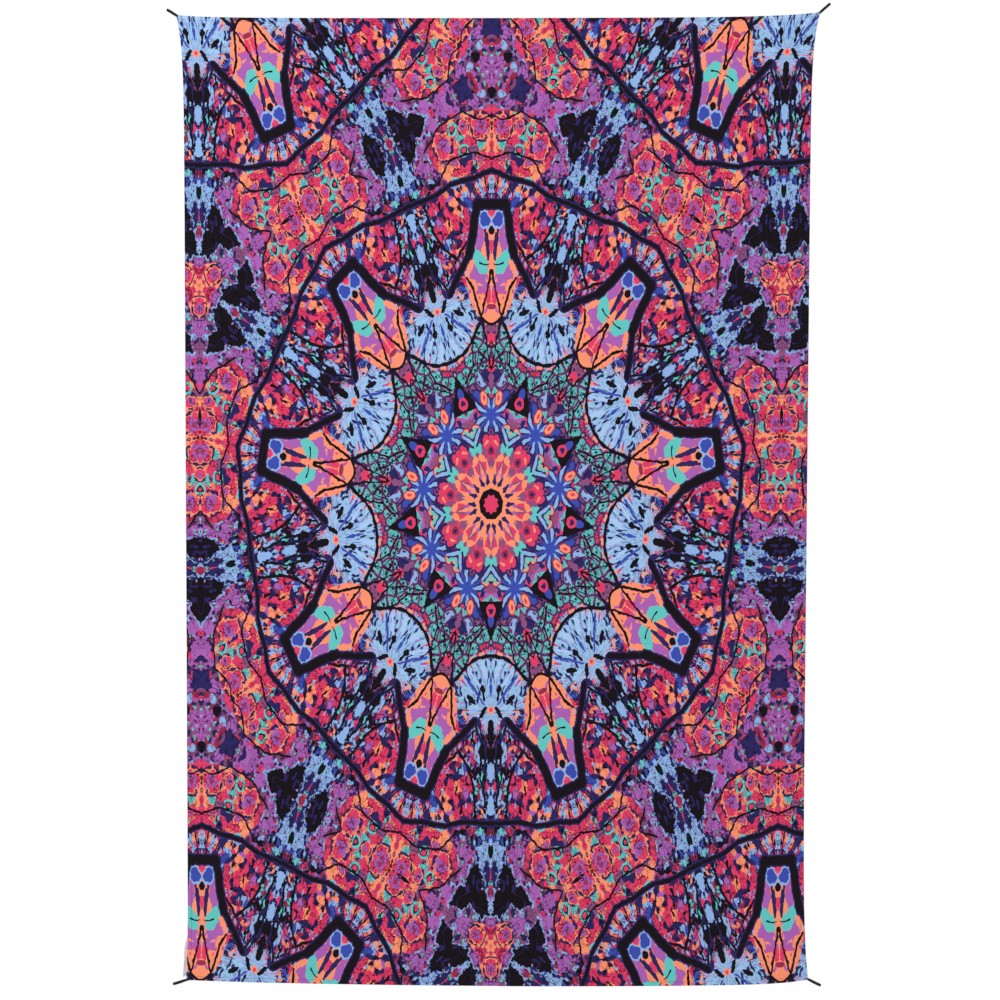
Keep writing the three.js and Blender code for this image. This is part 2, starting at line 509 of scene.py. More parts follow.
@dataclass(frozen=True)
class Kaleidoscope:
    """The print: nine-fold mandalas that repeat on a triangular grid.

    One half-sector is drawn and folded out to fill the cloth. Sizes are millimetres in the
    design before it is stretched onto the flat cloth.
    """

    centre: tuple[float, float] = (-15.0, -14.5)
    stretch: tuple[float, float] = (1.018, 1.283)
    folds: int = 9
    cell: float = 699.0
    wobble: float = 6.0
    jag: float = 3.2
    focus: float = 386.0
    net_scale: float = 46.0
    rim: Stroke = Stroke(((619, 0), (601, 45), (594, 98), (567, 140), (547, 198)), 7.5)
    outline: tuple[Stroke, ...] = (
        Stroke(((553, 0), (552, 33)), 18.5),
        Stroke(((552, 33), (500, 42), (460, 52)), 16),
        Stroke(((460, 52), (425, 77), (388, 100)), 11),
    )
    fine_lines: tuple[Stroke, ...] = (
        Stroke(((262, 98), (275, 66), (300, 45), (345, 25)), 7),
        Stroke(((345, 25), (385, 12), (432, 0)), 5),
        Stroke(((345, 25), (400, 44), (418, 58)), 5.5),
        Stroke(((331, 0), (336, 14), (345, 25)), 5),
        Stroke(((345, 25), (300, 12), (248, 0)), 4),
        Stroke(((300, 45), (255, 40), (222, 62)), 3.5),
        Stroke(((444, 4), (447, 26)), 3),
        Stroke(((576, 148), (550, 160), (500, 140), (470, 112), (452, 82), (482, 58)), 6),
        Stroke(((640, 0), (652, 42), (636, 100), (600, 128)), 4),
        Stroke(((720, 0), (712, 30), (728, 72), (700, 128), (650, 160)), 4),
        Stroke(((388, 100), (420, 128), (470, 142), (520, 176)), 4),
        Stroke(((216, 60), (250, 28), (300, 0)), 2.2),
        Stroke(((248, 0), (286, 32), (322, 62)), 2.2),
    )

    @property
    def half(self) -> float:
        """Half of one sector, in radians."""
        return math.pi / self.folds

    def _segment(
        self, tree: Tree, place: object, start: Sequence[float], end: Sequence[float]
    ) -> Number:
        """The distance to a straight line between two points.

        Args:
            tree: The material's tree.
            place: The folded place.
            start: The line's first point, in millimetres.
            end: Its last point.

        Returns:
            The distance, in metres.
        """
        first = Vector((start[0], start[1], 0)) * MM
        run = Vector((end[0], end[1], 0)) * MM - first
        offset = tree.vector("SUBTRACT", place, tuple(first))
        share = tree.measure("DOT_PRODUCT", offset, tuple(run / run.length_squared))
        share = tree.math("MULTIPLY", share, 1.0, clamp=True)
        return tree.measure("DISTANCE", offset, tree.scaled(tuple(run), share))

    def _blob(
        self,
        tree: Tree,
        place: object,
        centre: Sequence[float],
        radii: Sequence[float],
        turn: float = 0.0,
    ) -> Number:
        """How far a place is out from an ellipse's middle, as a share of its radius.

        Args:
            tree: The material's tree.
            place: The folded place.
            centre: The ellipse's middle, in millimetres.
            radii: Its half length and half width.
            turn: How far it is turned, in degrees.

        Returns:
            0 at its middle and 1 on its edge.
        """
        middle = Vector((*centre, 0)) * MM
        angle = math.radians(turn)
        long_way = Vector((math.cos(angle), math.sin(angle), 0)) / (radii[0] * MM)
        short_way = Vector((-math.sin(angle), math.cos(angle), 0)) / (radii[1] * MM)
        if not turn:
            scale = (long_way.x, short_way.y, 0)
            shift = (-long_way.x * middle.x, -short_way.y * middle.y, 0)
            return tree.measure(
                "LENGTH", tree.vector("MULTIPLY_ADD", place, scale, shift)
            )
        scaled = tree.joined(
            tree.measure("DOT_PRODUCT", place, tuple(long_way)),
            tree.measure("DOT_PRODUCT", place, tuple(short_way)),
        )
        return tree.measure(
            "DISTANCE", scaled, (middle.dot(long_way), middle.dot(short_way), 0)
        )

    def _blobs(
        self,
        tree: Tree,
        colour: object,
        place: object,
        shapes: Iterable[tuple],
        limit: float | Number = 1.0,
    ) -> bpy.types.NodeSocket:
        """Lay several ellipses over a colour.

        Args:
            tree: The material's tree.
            colour: The colour below.
            place: The folded place.
            shapes: Each one's middle, radii, turn and ink.
            limit: Where their edges lie, as a share of their radii.

        Returns:
            The new colour.
        """
        for centre, radii, turn, dye in shapes:
            inside = self._blob(tree, place, centre, radii, turn) < limit
            colour = tree.over(colour, inside, dye)
        return colour

    def _star(
        self, tree: Tree, angle: Number, inner: float, outer: float, points: int, shift: float = 0
    ) -> Number:
        """The radius of a star at an angle.

        Args:
            tree: The material's tree.
            angle: The angle round its middle, in radians.
            inner: The radius between its points, in millimetres.
            outer: The radius at its points.
            points: How many points it has.
            shift: How far it is turned, as a share of one point.

        Returns:
            The radius, in metres.
        """
        half = math.pi / points
        rise = tree.math("PINGPONG", angle + 2 * half * shift, half)
        return outer * MM - rise * ((outer - inner) * MM / half)

    def _gap(self, tree: Tree, place: object, stroke: Stroke) -> Number:
        """The distance to the middle of a stroke, in metres.

        Args:
            tree: The material's tree.
            place: The folded place.
            stroke: The stroke.

        Returns:
            The distance.
        """
        near: Number | None = None
        for start, end in zip(stroke.points, stroke.points[1:]):
            gap = self._segment(tree, place, start, end)
            near = gap if near is None else near & gap
        return near

    def _fold(self, tree: Tree, flat: bpy.types.NodeSocket) -> tuple[Number, Number]:
        """Fold a place on the cloth into the half-sector, with a hand-drawn wobble.

        Args:
            tree: The material's tree.
            flat: The place on the flat cloth, in metres.

        Returns:
            The place's distances along and from the finger's axis.
        """
        x, y = tree.split(flat)
        right = abs((x - self.centre[0] * MM) / self.stretch[0])
        up = (y - self.centre[1] * MM) / self.stretch[1]
        cell = self.cell * MM
        right = cell - abs(cell - right)
        row = tree.math("SIGN", up) * (math.sqrt(3) * cell)
        far_right = right - cell
        far_up = up - row
        own = right * right + up * up
        nearer = far_right * far_right + far_up * far_up < own
        right = right - nearer * cell
        up = up - nearer * row
        radius = tree.math("SQRT", right * right + up * up)
        angle = tree.math("PINGPONG", tree.math("ARCTAN2", right, up), self.half)
        along = radius * tree.math("COSINE", angle)
        side = radius * tree.math("SINE", angle)
        still = tree.joined(along, side)
        moved = []
        for i, start in enumerate((along, side)):
            place = tree.vector("ADD", still, (3.0 + 5 * i, 7.0, 0))
            wide = (tree.noise(place, 12, detail=1) - 0.5) * (2 * self.wobble * MM)
            fine = (tree.noise(place, 80, detail=1) - 0.5) * (2 * self.jag * MM)
            moved.append(start + wide + fine)
        return moved[0], moved[1]

    def _spot(self, tree: Tree, along: Number, side: Number) -> Spot:
        """Measure a folded place in the ways that the shapes need.

        Args:
            tree: The material's tree.
            along: Its distance out on the finger's axis.
            side: Its distance from that axis.

        Returns:
            The measured place.
        """
        ahead = (math.cos(self.half), math.sin(self.half))
        wedge_along = along * ahead[0] + side * ahead[1]
        wedge_side = along * ahead[1] - side * ahead[0]
        return Spot(
            place=tree.joined(along, side),
            along=along,
            side=side,
            radius=tree.math("SQRT", along * along + side * side),
            angle=tree.math("ARCTAN2", side, along),
            wedge=tree.joined(wedge_along, wedge_side),
            wedge_along=wedge_along,
            wedge_side=wedge_side,
        )

    def _flecked(
        self, tree: Tree, place: object, scale: float, flecks: Flecks
    ) -> bpy.types.NodeSocket:
        """Fill with small many-sided flecks, each of one ink."""
        return tree.bands(Number(tree, self._pick(tree, place, scale)), flecks.value)

    def _pick(self, tree: Tree, place: object, scale: float) -> bpy.types.NodeSocket:
        """Split a place into many-sided cells, each with its own number from 0 to 1.

        Args:
            tree: The material's tree.
            place: The place.
            scale: How many cells there are to a metre.

        Returns:
            The cell's number.
        """
        cell = tree.voronoi(place, scale, "Position")
        pick = tree.node("TexWhiteNoise", {"noise_dimensions": "2D"}, {"Vector": cell})
        return pick.outputs["Value"]

    def _grounds(self, tree: Tree, spot: Spot) -> Grounds:
        """Make the grounds. They all come before the shapes are measured.

        Args:
            tree: The material's tree.
            spot: The folded place.

        Returns:
            The grounds.
        """
        long_way = tree.vector("MULTIPLY", spot.wedge, (0.5, 1, 1))
        offset = tree.vector("SUBTRACT", spot.wedge, (self.focus * MM, 0, 0))
        across = tree.measure("DOT_PRODUCT", offset, (0, 1, 0))
        turn = tree.math("ARCTAN2", across, spot.wedge_along - self.focus * MM)
        reach = tree.measure("LENGTH", offset)
        streaks = tree.noise(tree.joined(turn * 2.3, reach * 4), 5.5, detail=2)
        scale = self.net_scale
        edge = Number(tree, tree.voronoi(spot.place, scale, "Distance", "DISTANCE_TO_EDGE"))
        out = Number(tree, tree.voronoi(spot.place, scale, "Distance"))
        net = self._flecked(tree, spot.place, scale, Flecks.NET)
        net = tree.over(net, out < 0.13, Dye.NAVY)
        net = tree.over(net, edge < 0.13, Dye.MAUVE)
        net = tree.over(net, edge < 0.045, Dye.NAVY)
        return Grounds(
            warm=self._flecked(tree, spot.place, 78, Flecks.WARM),
            icy=self._flecked(tree, long_way, 125, Flecks.ICY),
            petal=self._flecked(tree, spot.place, 62, Flecks.PETAL),
            rosy=self._flecked(tree, spot.place, 64, Flecks.ROSY),
            mauve=self._flecked(tree, spot.place, 88, Flecks.MAUVE),
            rays=tree.bands(streaks, Flecks.RAYS.value),
            net=net,
            streaks=streaks,
            specks=Number(tree, self._pick(tree, long_way, 215)),
            veins=tree.noise(spot.place, 17, detail=1.5, distortion=0.4),
            ragged=tree.noise(spot.place, 55, detail=2),
        )

    def paint(self, tree: Tree, flat: bpy.types.NodeSocket) -> bpy.types.NodeSocket:
        """Draw the print.

        Args:
            tree: The material's tree.
            flat: The place on the flat cloth, in metres.

        Returns:
            The print's colour.
        """
        along, side = self._fold(tree, flat)
        grounds = self._grounds(tree, self._spot(tree, along, side))
        # A whisker of the last texture is added, so that the renderer works out the shapes
        # after all the textures and holds few numbers at once.
        spot = self._spot(tree, along + grounds.ragged * WHISKER, side)
        colour = self._middle(tree, spot, grounds)
        colour = self._beyond(tree, colour, spot, grounds)
        threads = (abs(grounds.ragged - 0.5) < 0.013) | (abs(grounds.ragged - 0.42) < 0.008)
        colour = tree.multiply(colour, linear("8d4a66"), threads)
        veins = (abs(grounds.veins - 0.5) < 0.006) | (abs(grounds.veins - 0.41) < 0.004)
        colour = tree.over(colour, veins * (spot.radius > 210 * MM), Dye.NAVY)
        colour = self._burst(tree, colour, spot, grounds)
        colour = self._finger(tree, colour, spot, grounds)
        colour = self._heart(tree, colour, spot, grounds)
        return self._lines(tree, colour, spot, grounds)

    def _middle(self, tree: Tree, spot: Spot, grounds: Grounds) -> bpy.types.NodeSocket:
        """Paint the grounds inside the rim: warm, with an icy column on the wedge axis.

        Args:
            tree: The material's tree.
            spot: The measured place.
            grounds: The grounds.

        Returns:
            The new colour.
        """
        colour = grounds.warm
        loop = self._blob(tree, spot.place, (522, 98), (68, 50), 22)
        colour = tree.over(colour, loop < 1.0, grounds.petal)
        column = spot.wedge_side < grounds.ragged * (84 * MM)
        colour = tree.over(colour, column * (spot.wedge_along > 380 * MM), grounds.icy)
        fan = tree.math("ARCTAN2", spot.side, spot.along - 520 * MM)
        stripe = tree.math("COSINE", fan * 17)
        rough = grounds.ragged * 1.5 + 0.25
        tip = (spot.along > 564 * MM) * (self._blob(tree, spot.place, (575, 0), (34, 46)) < 1)
        colour = tree.over(colour, tip * (stripe + grounds.ragged * 4 > 2.3), Dye.SKY)
        colour = tree.over(colour, tip * (stripe < -0.9), Dye.NAVY)
        colour = self._blobs(
            tree,
            colour,
            spot.place,
            (
                ((541, 76), (17, 9), 30, Dye.CORAL),
                ((556, 92), (8, 12), 10, Dye.CORAL),
                ((488, 92), (14, 6), 65, Dye.NAVY),
                ((508, 118), (18, 12), 40, Dye.ROSE),
                ((520, 124), (10, 8), 30, Dye.PURPLE),
                ((470, 165), (17, 6), 22, Dye.SKY),
                ((398, 140), (15, 8), 20, Dye.INK),
                ((434, 152), (17, 7), 24, Dye.INK),
            ),
            rough,
        )
        colour = tree.over(colour, grounds.specks > 0.93, Dye.SKY)
        colour = tree.over(colour, grounds.specks < 0.12, Dye.NAVY)
        colour = tree.over(colour, grounds.specks < 0.05, Dye.INK)
        return tree.over(colour, spot.radius < 330 * MM, grounds.net)

    def _beyond(
        self, tree: Tree, colour: object, spot: Spot, grounds: Grounds
    ) -> bpy.types.NodeSocket:
        """Paint the field beyond the rim: rosy islands, mauve shores and black stars.

        Args:
            tree: The material's tree.
            colour: The colour below.
            spot: The measured place.
            grounds: The grounds.

        Returns:
            The new colour.
        """
        inner = 583 * MM + tree.math("COSINE", spot.angle * self.folds) * (18 * MM)
        past = (spot.radius > inner + 14 * MM) * (spot.angle < math.radians(15.5))
        past = past | (spot.radius > 690 * MM)
        colour = tree.over(colour, past, grounds.mauve)
        colour = tree.over(colour, past * (grounds.specks < 0.12), Dye.NAVY)
        colour = tree.over(colour, past * (grounds.specks > 0.95), Dye.TEAL)
        island = self._blob(tree, spot.place, (655, 0), (79, 150))
        colour = tree.over(colour, past * (island < 1.0), grounds.rosy)
        shore = self._blob(tree, spot.place, (757, 250), (30, 46), 10)
        colour = tree.over(colour, shore < 1.0, grounds.rosy)
        ovals = (
            ((662, 116), (27, 22), 20),
            ((700, 26), (25, 24), 0),
            ((700, 70), (15, 13), 0),
            ((752, 236), (17, 20), 20),
            ((634, 88), (16, 9), 40),
            ((642, 24), (16, 8), -35),
        )
        rough = grounds.ragged * 1.5 + 0.25
        for centre, radii, turn in ovals:
            out = self._blob(tree, spot.place, centre, radii, turn)
            colour = tree.over(colour, out < 1.12, Dye.NAVY)
            colour = tree.over(colour, out < rough, Dye.CORAL)
            colour = tree.over(colour, out < rough - 0.2, Dye.ROSE)
            colour = tree.over(colour, out + rough < 1.55, Dye.PURPLE)
            colour = tree.over(colour, out < rough - 0.86, Dye.WINE)
        for centre in ((655, 66), (694, 96)):
            flower = self._blob(tree, spot.place, centre, (13, 13))
            colour = tree.over(colour, (flower < 1.0) * (grounds.ragged > 0.48), Dye.INK)
            colour = tree.over(colour, (flower < 1.0) * (flower > 0.6), Dye.TEAL)
            colour = tree.over(colour, flower < 0.42, Dye.ROSE)
        colour = self._blobs(
            tree,
            colour,
            spot.place,
            (
                ((620, 166), (12, 17), 30, Dye.PURPLE),
                ((652, 172), (15, 11), 20, Dye.PURPLE),
                ((706, 150), (19, 14), 50, Dye.PURPLE),
                ((727, 116), (13, 20), 20, Dye.PURPLE),
                ((744, 196), (12, 22), 15, Dye.PURPLE),
                ((748, 44), (16, 11), 40, Dye.PURPLE),
                ((792, 0), (18, 14), 0, Dye.PURPLE),
                ((760, 66), (15, 20), 0, Dye.NAVY),
                ((762, 24), (8, 10), 0, Dye.SKY),
                ((763, 0), (12, 13), 0, Dye.INK),
                ((612, 204), (30, 10), 10, Dye.SKY),
                ((640, 222), (26, 7), 22, Dye.NAVY),
            ),
            rough,
        )
        star_turn = tree.math("ARCTAN2", spot.side - 203 * MM, spot.along - 684 * MM)
        star_out = tree.measure("DISTANCE", spot.place, (684 * MM, 203 * MM, 0))
        reach = self._star(tree, star_turn, 2, 40, 3, 0.43) + grounds.ragged * (46 * MM)
        rim = (star_out < reach) * (grounds.specks > 0.35)
        colour = tree.over(colour, rim, Dye.SKY)
        black = (star_out < reach - 7 * MM) * (grounds.specks > 0.1)
        return tree.over(colour, black, Dye.INK)

    def _burst(
        self, tree: Tree, colour: object, spot: Spot, grounds: Grounds
    ) -> bpy.types.NodeSocket:
        """Paint the icy disc between two fingers, with rays from its outer focus.

        Args:
            tree: The material's tree.
            colour: The colour below.
            spot: The measured place.
            grounds: The grounds.

        Returns:
            The new colour.
        """
        out = self._blob(tree, spot.wedge, (342, 0), (74, 84))
        open_side = spot.wedge_along > 268 * MM
        colour = tree.over(colour, (out < 1.0) * open_side, grounds.petal)
        disc = out < grounds.streaks * 1.5 + 0.2
        colour = tree.over(colour, disc * open_side, grounds.rays)
        colour = tree.over(colour, (out < 1.0) * (grounds.specks < 0.06), Dye.NAVY)
        return self._blobs(
            tree,
            colour,
            spot.wedge,
            (
                ((341, 20), (7, 6), -24, Dye.INK),
                ((352, 17), (14, 3), -24, Dye.INK),
                ((359, 46), (12, 4), -52, Dye.INK),
                ((333, 0), (36, 3), 0, Dye.ROYAL),
                ((344, 36), (34, 3), -40, Dye.ROYAL),
                ((310, 17), (18, 4), -18, Dye.ICE),
                ((318, 42), (20, 4), -36, Dye.ICE),
                ((386, 20), (14, 5), 30, Dye.INK),
                ((412, 0), (17, 6), 0, Dye.INK),
                ((404, 26), (9, 6), 0, Dye.NAVY),
                ((380, 0), (7, 7), 0, Dye.CORAL),
                ((379, 0), (4, 4), 0, Dye.ROSE),
                ((456, 0), (14, 5), 0, Dye.INK),
                ((494, 0), (17, 9), 0, Dye.SKY),
                ((552, 0), (21, 9), 0, Dye.SKY),
            ),
            grounds.ragged * 2.4 - 0.2,
        )

    def _finger(
        self, tree: Tree, colour: object, spot: Spot, grounds: Grounds
    ) -> bpy.types.NodeSocket:
        """Paint the inside of a finger, from its base to its tip.

        Args:
            tree: The material's tree.
            colour: The colour below.
            spot: The measured place.
            grounds: The grounds.

        Returns:
            The new colour.
        """
        width = (605 * MM - spot.along) * 0.36 + 12 * MM
        upper = (spot.side < width) * (spot.along > 442 * MM) * (spot.along < 552 * MM)
        lower = self._blob(tree, spot.place, (425, 0), (90, 60)) < 1.0
        inside = upper | lower * (spot.along < 446 * MM)
        colour = tree.over(colour, inside, Dye.CORAL)
        shades = (
            ((392, 10), (26, 8), 14, Dye.ROSE),
            ((415, 29), (31, 21), 14, Dye.PURPLE),
            ((492, 26), (32, 9), -8, Dye.PURPLE),
        )
        colour = self._blobs(tree, colour, spot.place, shades, grounds.ragged * 1.3 + 0.35)
        spots = inside * (grounds.ragged > 0.585)
        colour = tree.over(colour, spots, Dye.CORAL)
        colour = tree.over(colour, inside * (grounds.ragged < 0.375), Dye.ROSE)
        colour = tree.over(colour, inside * (grounds.ragged < 0.345), Dye.PURPLE)
        return self._blobs(
            tree,
            colour,
            spot.place,
            (
                ((404, 40), (16, 7), 30, Dye.CORAL),
                ((448, 24), (15, 24), -58, Dye.TEAL),
                ((462, 38), (20, 9), 35, Dye.TEAL),
                ((478, 8), (26, 4), 4, Dye.NAVY),
                ((500, 14), (20, 3), 4, Dye.NAVY),
                ((524, 14), (19, 13), 0, Dye.SKY),
                ((525, 14), (14, 10), 0, Dye.ROYAL),
                ((506, 0), (9, 7), 0, Dye.INK),
                ((476, 0), (12, 5), 0, Dye.ROSE),
                ((540, 3), (7, 5), 0, Dye.ROSE),
                ((349, 0), (17, 16), 0, Dye.CORAL),
                ((364, 0), (5, 12), 0, Dye.WINE),
            ),
            grounds.ragged * 1.3 + 0.35,
        )

    def _heart(
        self, tree: Tree, colour: object, spot: Spot, grounds: Grounds
    ) -> bpy.types.NodeSocket:
        """Paint the middle: stars, beads and rays round a ringed core.

        Args:
            tree: The material's tree.
            colour: The colour below.
            spot: The measured place.
            grounds: The grounds.

        Returns:
            The new colour.
        """
        buds = (((257, 0), (12, 11), 0, Dye.ROSE), ((303, 0), (13, 11), 0, Dye.ROSE))
        colour = self._blobs(tree, colour, spot.place, buds, grounds.ragged * 2 - 0.1)
        outline = self._star(tree, spot.angle, 168, 206, self.folds)
        colour = tree.over(colour, spot.radius < outline, grounds.mauve)
        star_turn = tree.math("ARCTAN2", spot.side, spot.along - 165 * MM)
        star_out = tree.measure("DISTANCE", spot.place, (165 * MM, 0, 0))
        stripe = tree.math("COSINE", star_turn * 8)
        reach = self._star(tree, star_turn, 26, 66, 4, 0.5)
        colour = tree.over(colour, star_out < reach, Dye.NAVY)
        colour = tree.over(colour, (star_out < reach - 6 * MM) * (stripe < -0.4), Dye.SKY)
        colour = tree.over(colour, (star_out < reach - 4 * MM) * (stripe > 0.55), Dye.ROYAL)
        core = self._star(tree, star_turn, 10, 24, 8, 0.0)
        colour = tree.over(colour, star_out < core, Dye.ROYAL)
        colour = self._blobs(
            tree,
            colour,
            spot.place,
            (
                ((134, 33), (17, 10), 50, Dye.WINE),
                ((134, 33), (14, 7), 50, Dye.CORAL),
                ((134, 33), (7, 3), 50, Dye.ROSE),
                ((195, 20), (16, 10), 20, Dye.WINE),
                ((195, 20), (13, 8), 20, Dye.CORAL),
                ((195, 20), (6, 3), 20, Dye.ROSE),
                ((228, 0), (14, 7), 0, Dye.MAUVE),
                ((230, 26), (13, 4), 20, Dye.SKY),
            ),
        )
        taper = (248 * MM - spot.wedge_along) * 0.42
        spear = (spot.wedge_side < taper) * (spot.wedge_along > 180 * MM)
        colour = tree.over(colour, spear, Dye.INK)
        colour = self._blobs(
            tree,
            colour,
            spot.wedge,
            (
                ((213, 0), (13, 6), 0, Dye.ROYAL),
                ((198, 0), (12, 10), 0, Dye.ROSE),
                ((199, 0), (5, 4), 0, Dye.NAVY),
            ),
        )
        edge = self._star(tree, spot.angle, 146, 128, self.folds, 0)
        colour = tree.over(colour, spot.radius < edge, Dye.NAVY)
        colour = tree.over(colour, spot.radius < edge - 4 * MM, grounds.rosy)
        colour = self._blobs(
            tree,
            colour,
            spot.wedge,
            (
                ((124, 10), (22, 8), 36, Dye.NAVY),
                ((126, 11), (19, 4), 36, Dye.SKY),
                ((138, 7), (12, 3), 36, Dye.TEAL),
                ((112, 0), (8, 5), 0, Dye.TEAL),
            ),
        )
        colour = self._blobs(
            tree,
            colour,
            spot.place,
            (
                ((103, 0), (24, 20), 0, Dye.ROSE),
                ((96, 15), (13, 4), 30, Dye.MAUVE),
                ((112, 10), (8, 3), -40, Dye.CORAL),
                ((98, 0), (8, 6), 0, Dye.WINE),
                ((98, 0), (4, 3), 0, Dye.NAVY),
            ),
            grounds.ragged * 1.5 + 0.25,
        )
        for inside, outside, points, shift, dye in (
            (56, 90, 18, 0.0, Dye.MAUVE),
            (44, 86, 27, 0.5, Dye.CORAL),
            (44, 66, 27, 0.0, Dye.PURPLE),
            (38, 74, 18, 0.0, Dye.CORAL),
            (34, 58, 18, 0.5, Dye.NAVY),
            (33, 42, 18, 0.0, Dye.CORAL),
            (27, 29, 9, 0.0, Dye.INK),
            (14, 18, 9, 0.5, Dye.ROSE),
        ):
            edge = self._star(tree, spot.angle, inside, outside, points, shift)
            colour = tree.over(colour, spot.radius < edge, dye)
        return colour

    def _lines(
        self, tree: Tree, colour: object, spot: Spot, grounds: Grounds
    ) -> bpy.types.NodeSocket:
        """Draw the dark lines: fine ones, the finger's outline and the rim.

        Args:
            tree: The material's tree.
            colour: The colour below.
            spot: The measured place.
            grounds: The grounds.

        Returns:
            The new colour.
        """
        flow = grounds.ragged * 1.6 + 0.2
        for stroke in self.fine_lines:
            near = self._gap(tree, spot.place, stroke) < flow * (stroke.width / 2 * MM)
            colour = tree.over(colour, near, Dye.INK)
        edge = self._gap(tree, spot.place, self.rim) - self.rim.width / 2 * MM
        for stroke in self.outline:
            edge = edge & self._gap(tree, spot.place, stroke) - stroke.width / 2 * MM
        edge = edge - flow * (1.6 * MM)
        colour = tree.over(colour, edge < 1.2 * MM, Dye.NAVY)
        return tree.over(colour, edge < -1.6 * MM, Dye.INK)


@dataclass(frozen=True)
class CottonFinish:
    """Printed plain-weave cotton: the print in front, and its pale ghost on the reverse."""

    design: Kaleidoscope = field(default_factory=Kaleidoscope)
    yarn_pitch: float = 0.45 * MM
    cloth_colour: str = "dcd3da"
    bleed: float = 0.3
    roughness: float = 0.9

    def _weave(self, tree: Tree, flat: object) -> tuple[Number, Number]:
        """The height of the weave and its slubs.

        Args:
            tree: The material's tree.
            flat: The place on the flat cloth.

        Returns:
            The yarns' height and the slubs' height, each about 0 to 1.
        """
        turns = 2 * math.pi / self.yarn_pitch
        x, y = tree.split(flat)
        warp = tree.math("SINE", x * turns)
        weft = tree.math("SINE", y * turns)
        yarns = warp * weft * 0.5 + 0.5
        along_warp = tree.noise(tree.joined(x * 9, y * 0.6), 90, detail=2)
        along_weft = tree.noise(tree.joined(x * 0.6, y * 9), 90, detail=2)
        return yarns, along_warp + along_weft

    def _print_colour(self, tree: Tree, flat: object, slubs: Number) -> object:
        """The print as it sits in the cloth: a little uneven, and paler on the slubs.

        Args:
            tree: The material's tree.
            flat: The place on the flat cloth.
            slubs: How thick the yarns are there.

        Returns:
            The colour.
        """
        colour = self.design.paint(tree, flat)
        mottle = tree.noise(flat, 6, detail=3)
        level = mottle * 0.14 + slubs * 0.2 + 0.74
        return tree.multiply(colour, tree.grey(level))

    def front(self) -> bpy.types.Material:
        """The printed side.

        Returns:
            The material.
        """
        tree = Tree("printed_cotton")
        flat = tree.node("UVMap", {"uv_map": Sheet.FLAT_MAP}).outputs[0]
        yarns, slubs = self._weave(tree, flat)
        normal = tree.bump(yarns, 0.35, 0.12 * MM)
        normal = tree.bump(slubs, 0.5, 0.1 * MM, normal)
        rough = slubs * 0.06 + (self.roughness - 0.06)
        return tree.finish(
            Base_Color=self._print_colour(tree, flat, slubs),
            Roughness=rough,
            Normal=normal,
            Specular_IOR_Level=0.14,
            Sheen_Weight=0.04,
            Sheen_Roughness=0.5,
        )

    def back(self) -> bpy.types.Material:
        """The unprinted side, with the print ghosting through.

        Returns:
            The material.
        """
        tree = Tree("cotton_reverse")
        flat = tree.node("UVMap", {"uv_map": Sheet.FLAT_MAP}).outputs[0]
        yarns, slubs = self._weave(tree, flat)
        through = tree.noise(flat, 320, detail=2) * 0.25 + (self.bleed - 0.12)
        colour = self._print_colour(tree, flat, slubs)
        cloth = tree.multiply(linear(self.cloth_colour), tree.grey(slubs * 0.14 + 0.86))
        normal = tree.bump(yarns, 0.35, 0.12 * MM)
        normal = tree.bump(slubs, 0.5, 0.1 * MM, normal)
        return tree.finish(
            Base_Color=tree.over(cloth, through, colour),
            Roughness=slubs * 0.05 + 0.9,
            Normal=normal,
            Specular_IOR_Level=0.2,
            Sheen_Weight=0.15,
            Sheen_Roughness=0.5,
        )


@dataclass(frozen=True)
class ThreadFinish:
    """Spun sewing thread: plies twisted round each other, with a dull shine, painted shade in the
    grooves between the plies and painted highlight on their crests.
    """

    colour: str = "2b1d2b"
    ply_pitch: float = 0.5 * MM

    def material(self) -> bpy.types.Material:
        """The thread's material.

        Returns:
            The material.
        """
        tree = Tree("sewing_thread")
        place = tree.node("TexCoord").outputs["Object"]
        parts = tree.node("SeparateXYZ", None, {0: place}).outputs
        across = Number(tree, parts[0]) + Number(tree, parts[2])
        turns = 2 * math.pi / self.ply_pitch
        plies = tree.math("SINE", across * turns) * 0.5 + 0.5
        fuzz = tree.noise(place, 900, detail=2)
        # Painted shade and highlight: the thread's colour is darkened in the grooves between the
        # plies and lightened on their crests.
        base = tree.multiply(linear(self.colour), tree.grey(plies * 0.35 + 0.75))
        return tree.finish(
            Base_Color=base,
            Roughness=fuzz * 0.2 + 0.5,
            Normal=tree.bump(plies + fuzz * 0.4, 0.5, 0.08 * MM),
            Specular_IOR_Level=0.4,
        )


@dataclass(frozen=True)
class TapeFinish:
    """Black twill tape: a herringbone of fine ribs, a little dusty on the high yarns."""

    colour: str = "111013"
    worn: str = "2c2a2f"
    rib_pitch: float = 0.62 * MM

    def material(self) -> bpy.types.Material:
        """The tape's material. Its map runs along the tape, then across it.

        Returns:
            The material.
        """
        tree = Tree("black_tape")
        flat = tree.node("UVMap", {"uv_map": TapeLoop.TAPE_MAP}).outputs[0]
        along, across = tree.split(flat)
        turns = 2 * math.pi / self.rib_pitch
        ribs = tree.math("SINE", (along + abs(across) * 1.1) * turns) * 0.5 + 0.5
        picks = tree.math("SINE", across * (2 * turns)) * 0.5 + 0.5
        fuzz = tree.noise(flat, 1500, detail=3)
        height = ribs * 0.7 + picks * 0.3
        wear = tree.math("MULTIPLY", height * fuzz, 1.1, clamp=True)
        base = tree.over(linear(self.colour), wear, linear(self.worn))
        return tree.finish(
            Base_Color=base,
            Roughness=fuzz * 0.15 + 0.78,
            Normal=tree.bump(height + fuzz * 0.3, 0.8, 0.12 * MM),
            Specular_IOR_Level=0.3,
            Sheen_Weight=0.25,
            Sheen_Roughness=0.4,
        )


# ---- The hung cloth --------------------------------------------------------------------


@dataclass(frozen=True)
class Corner:
    """A corner of the hung sheet."""

    side: tuple[int, int]
    shift: tuple[float, float]


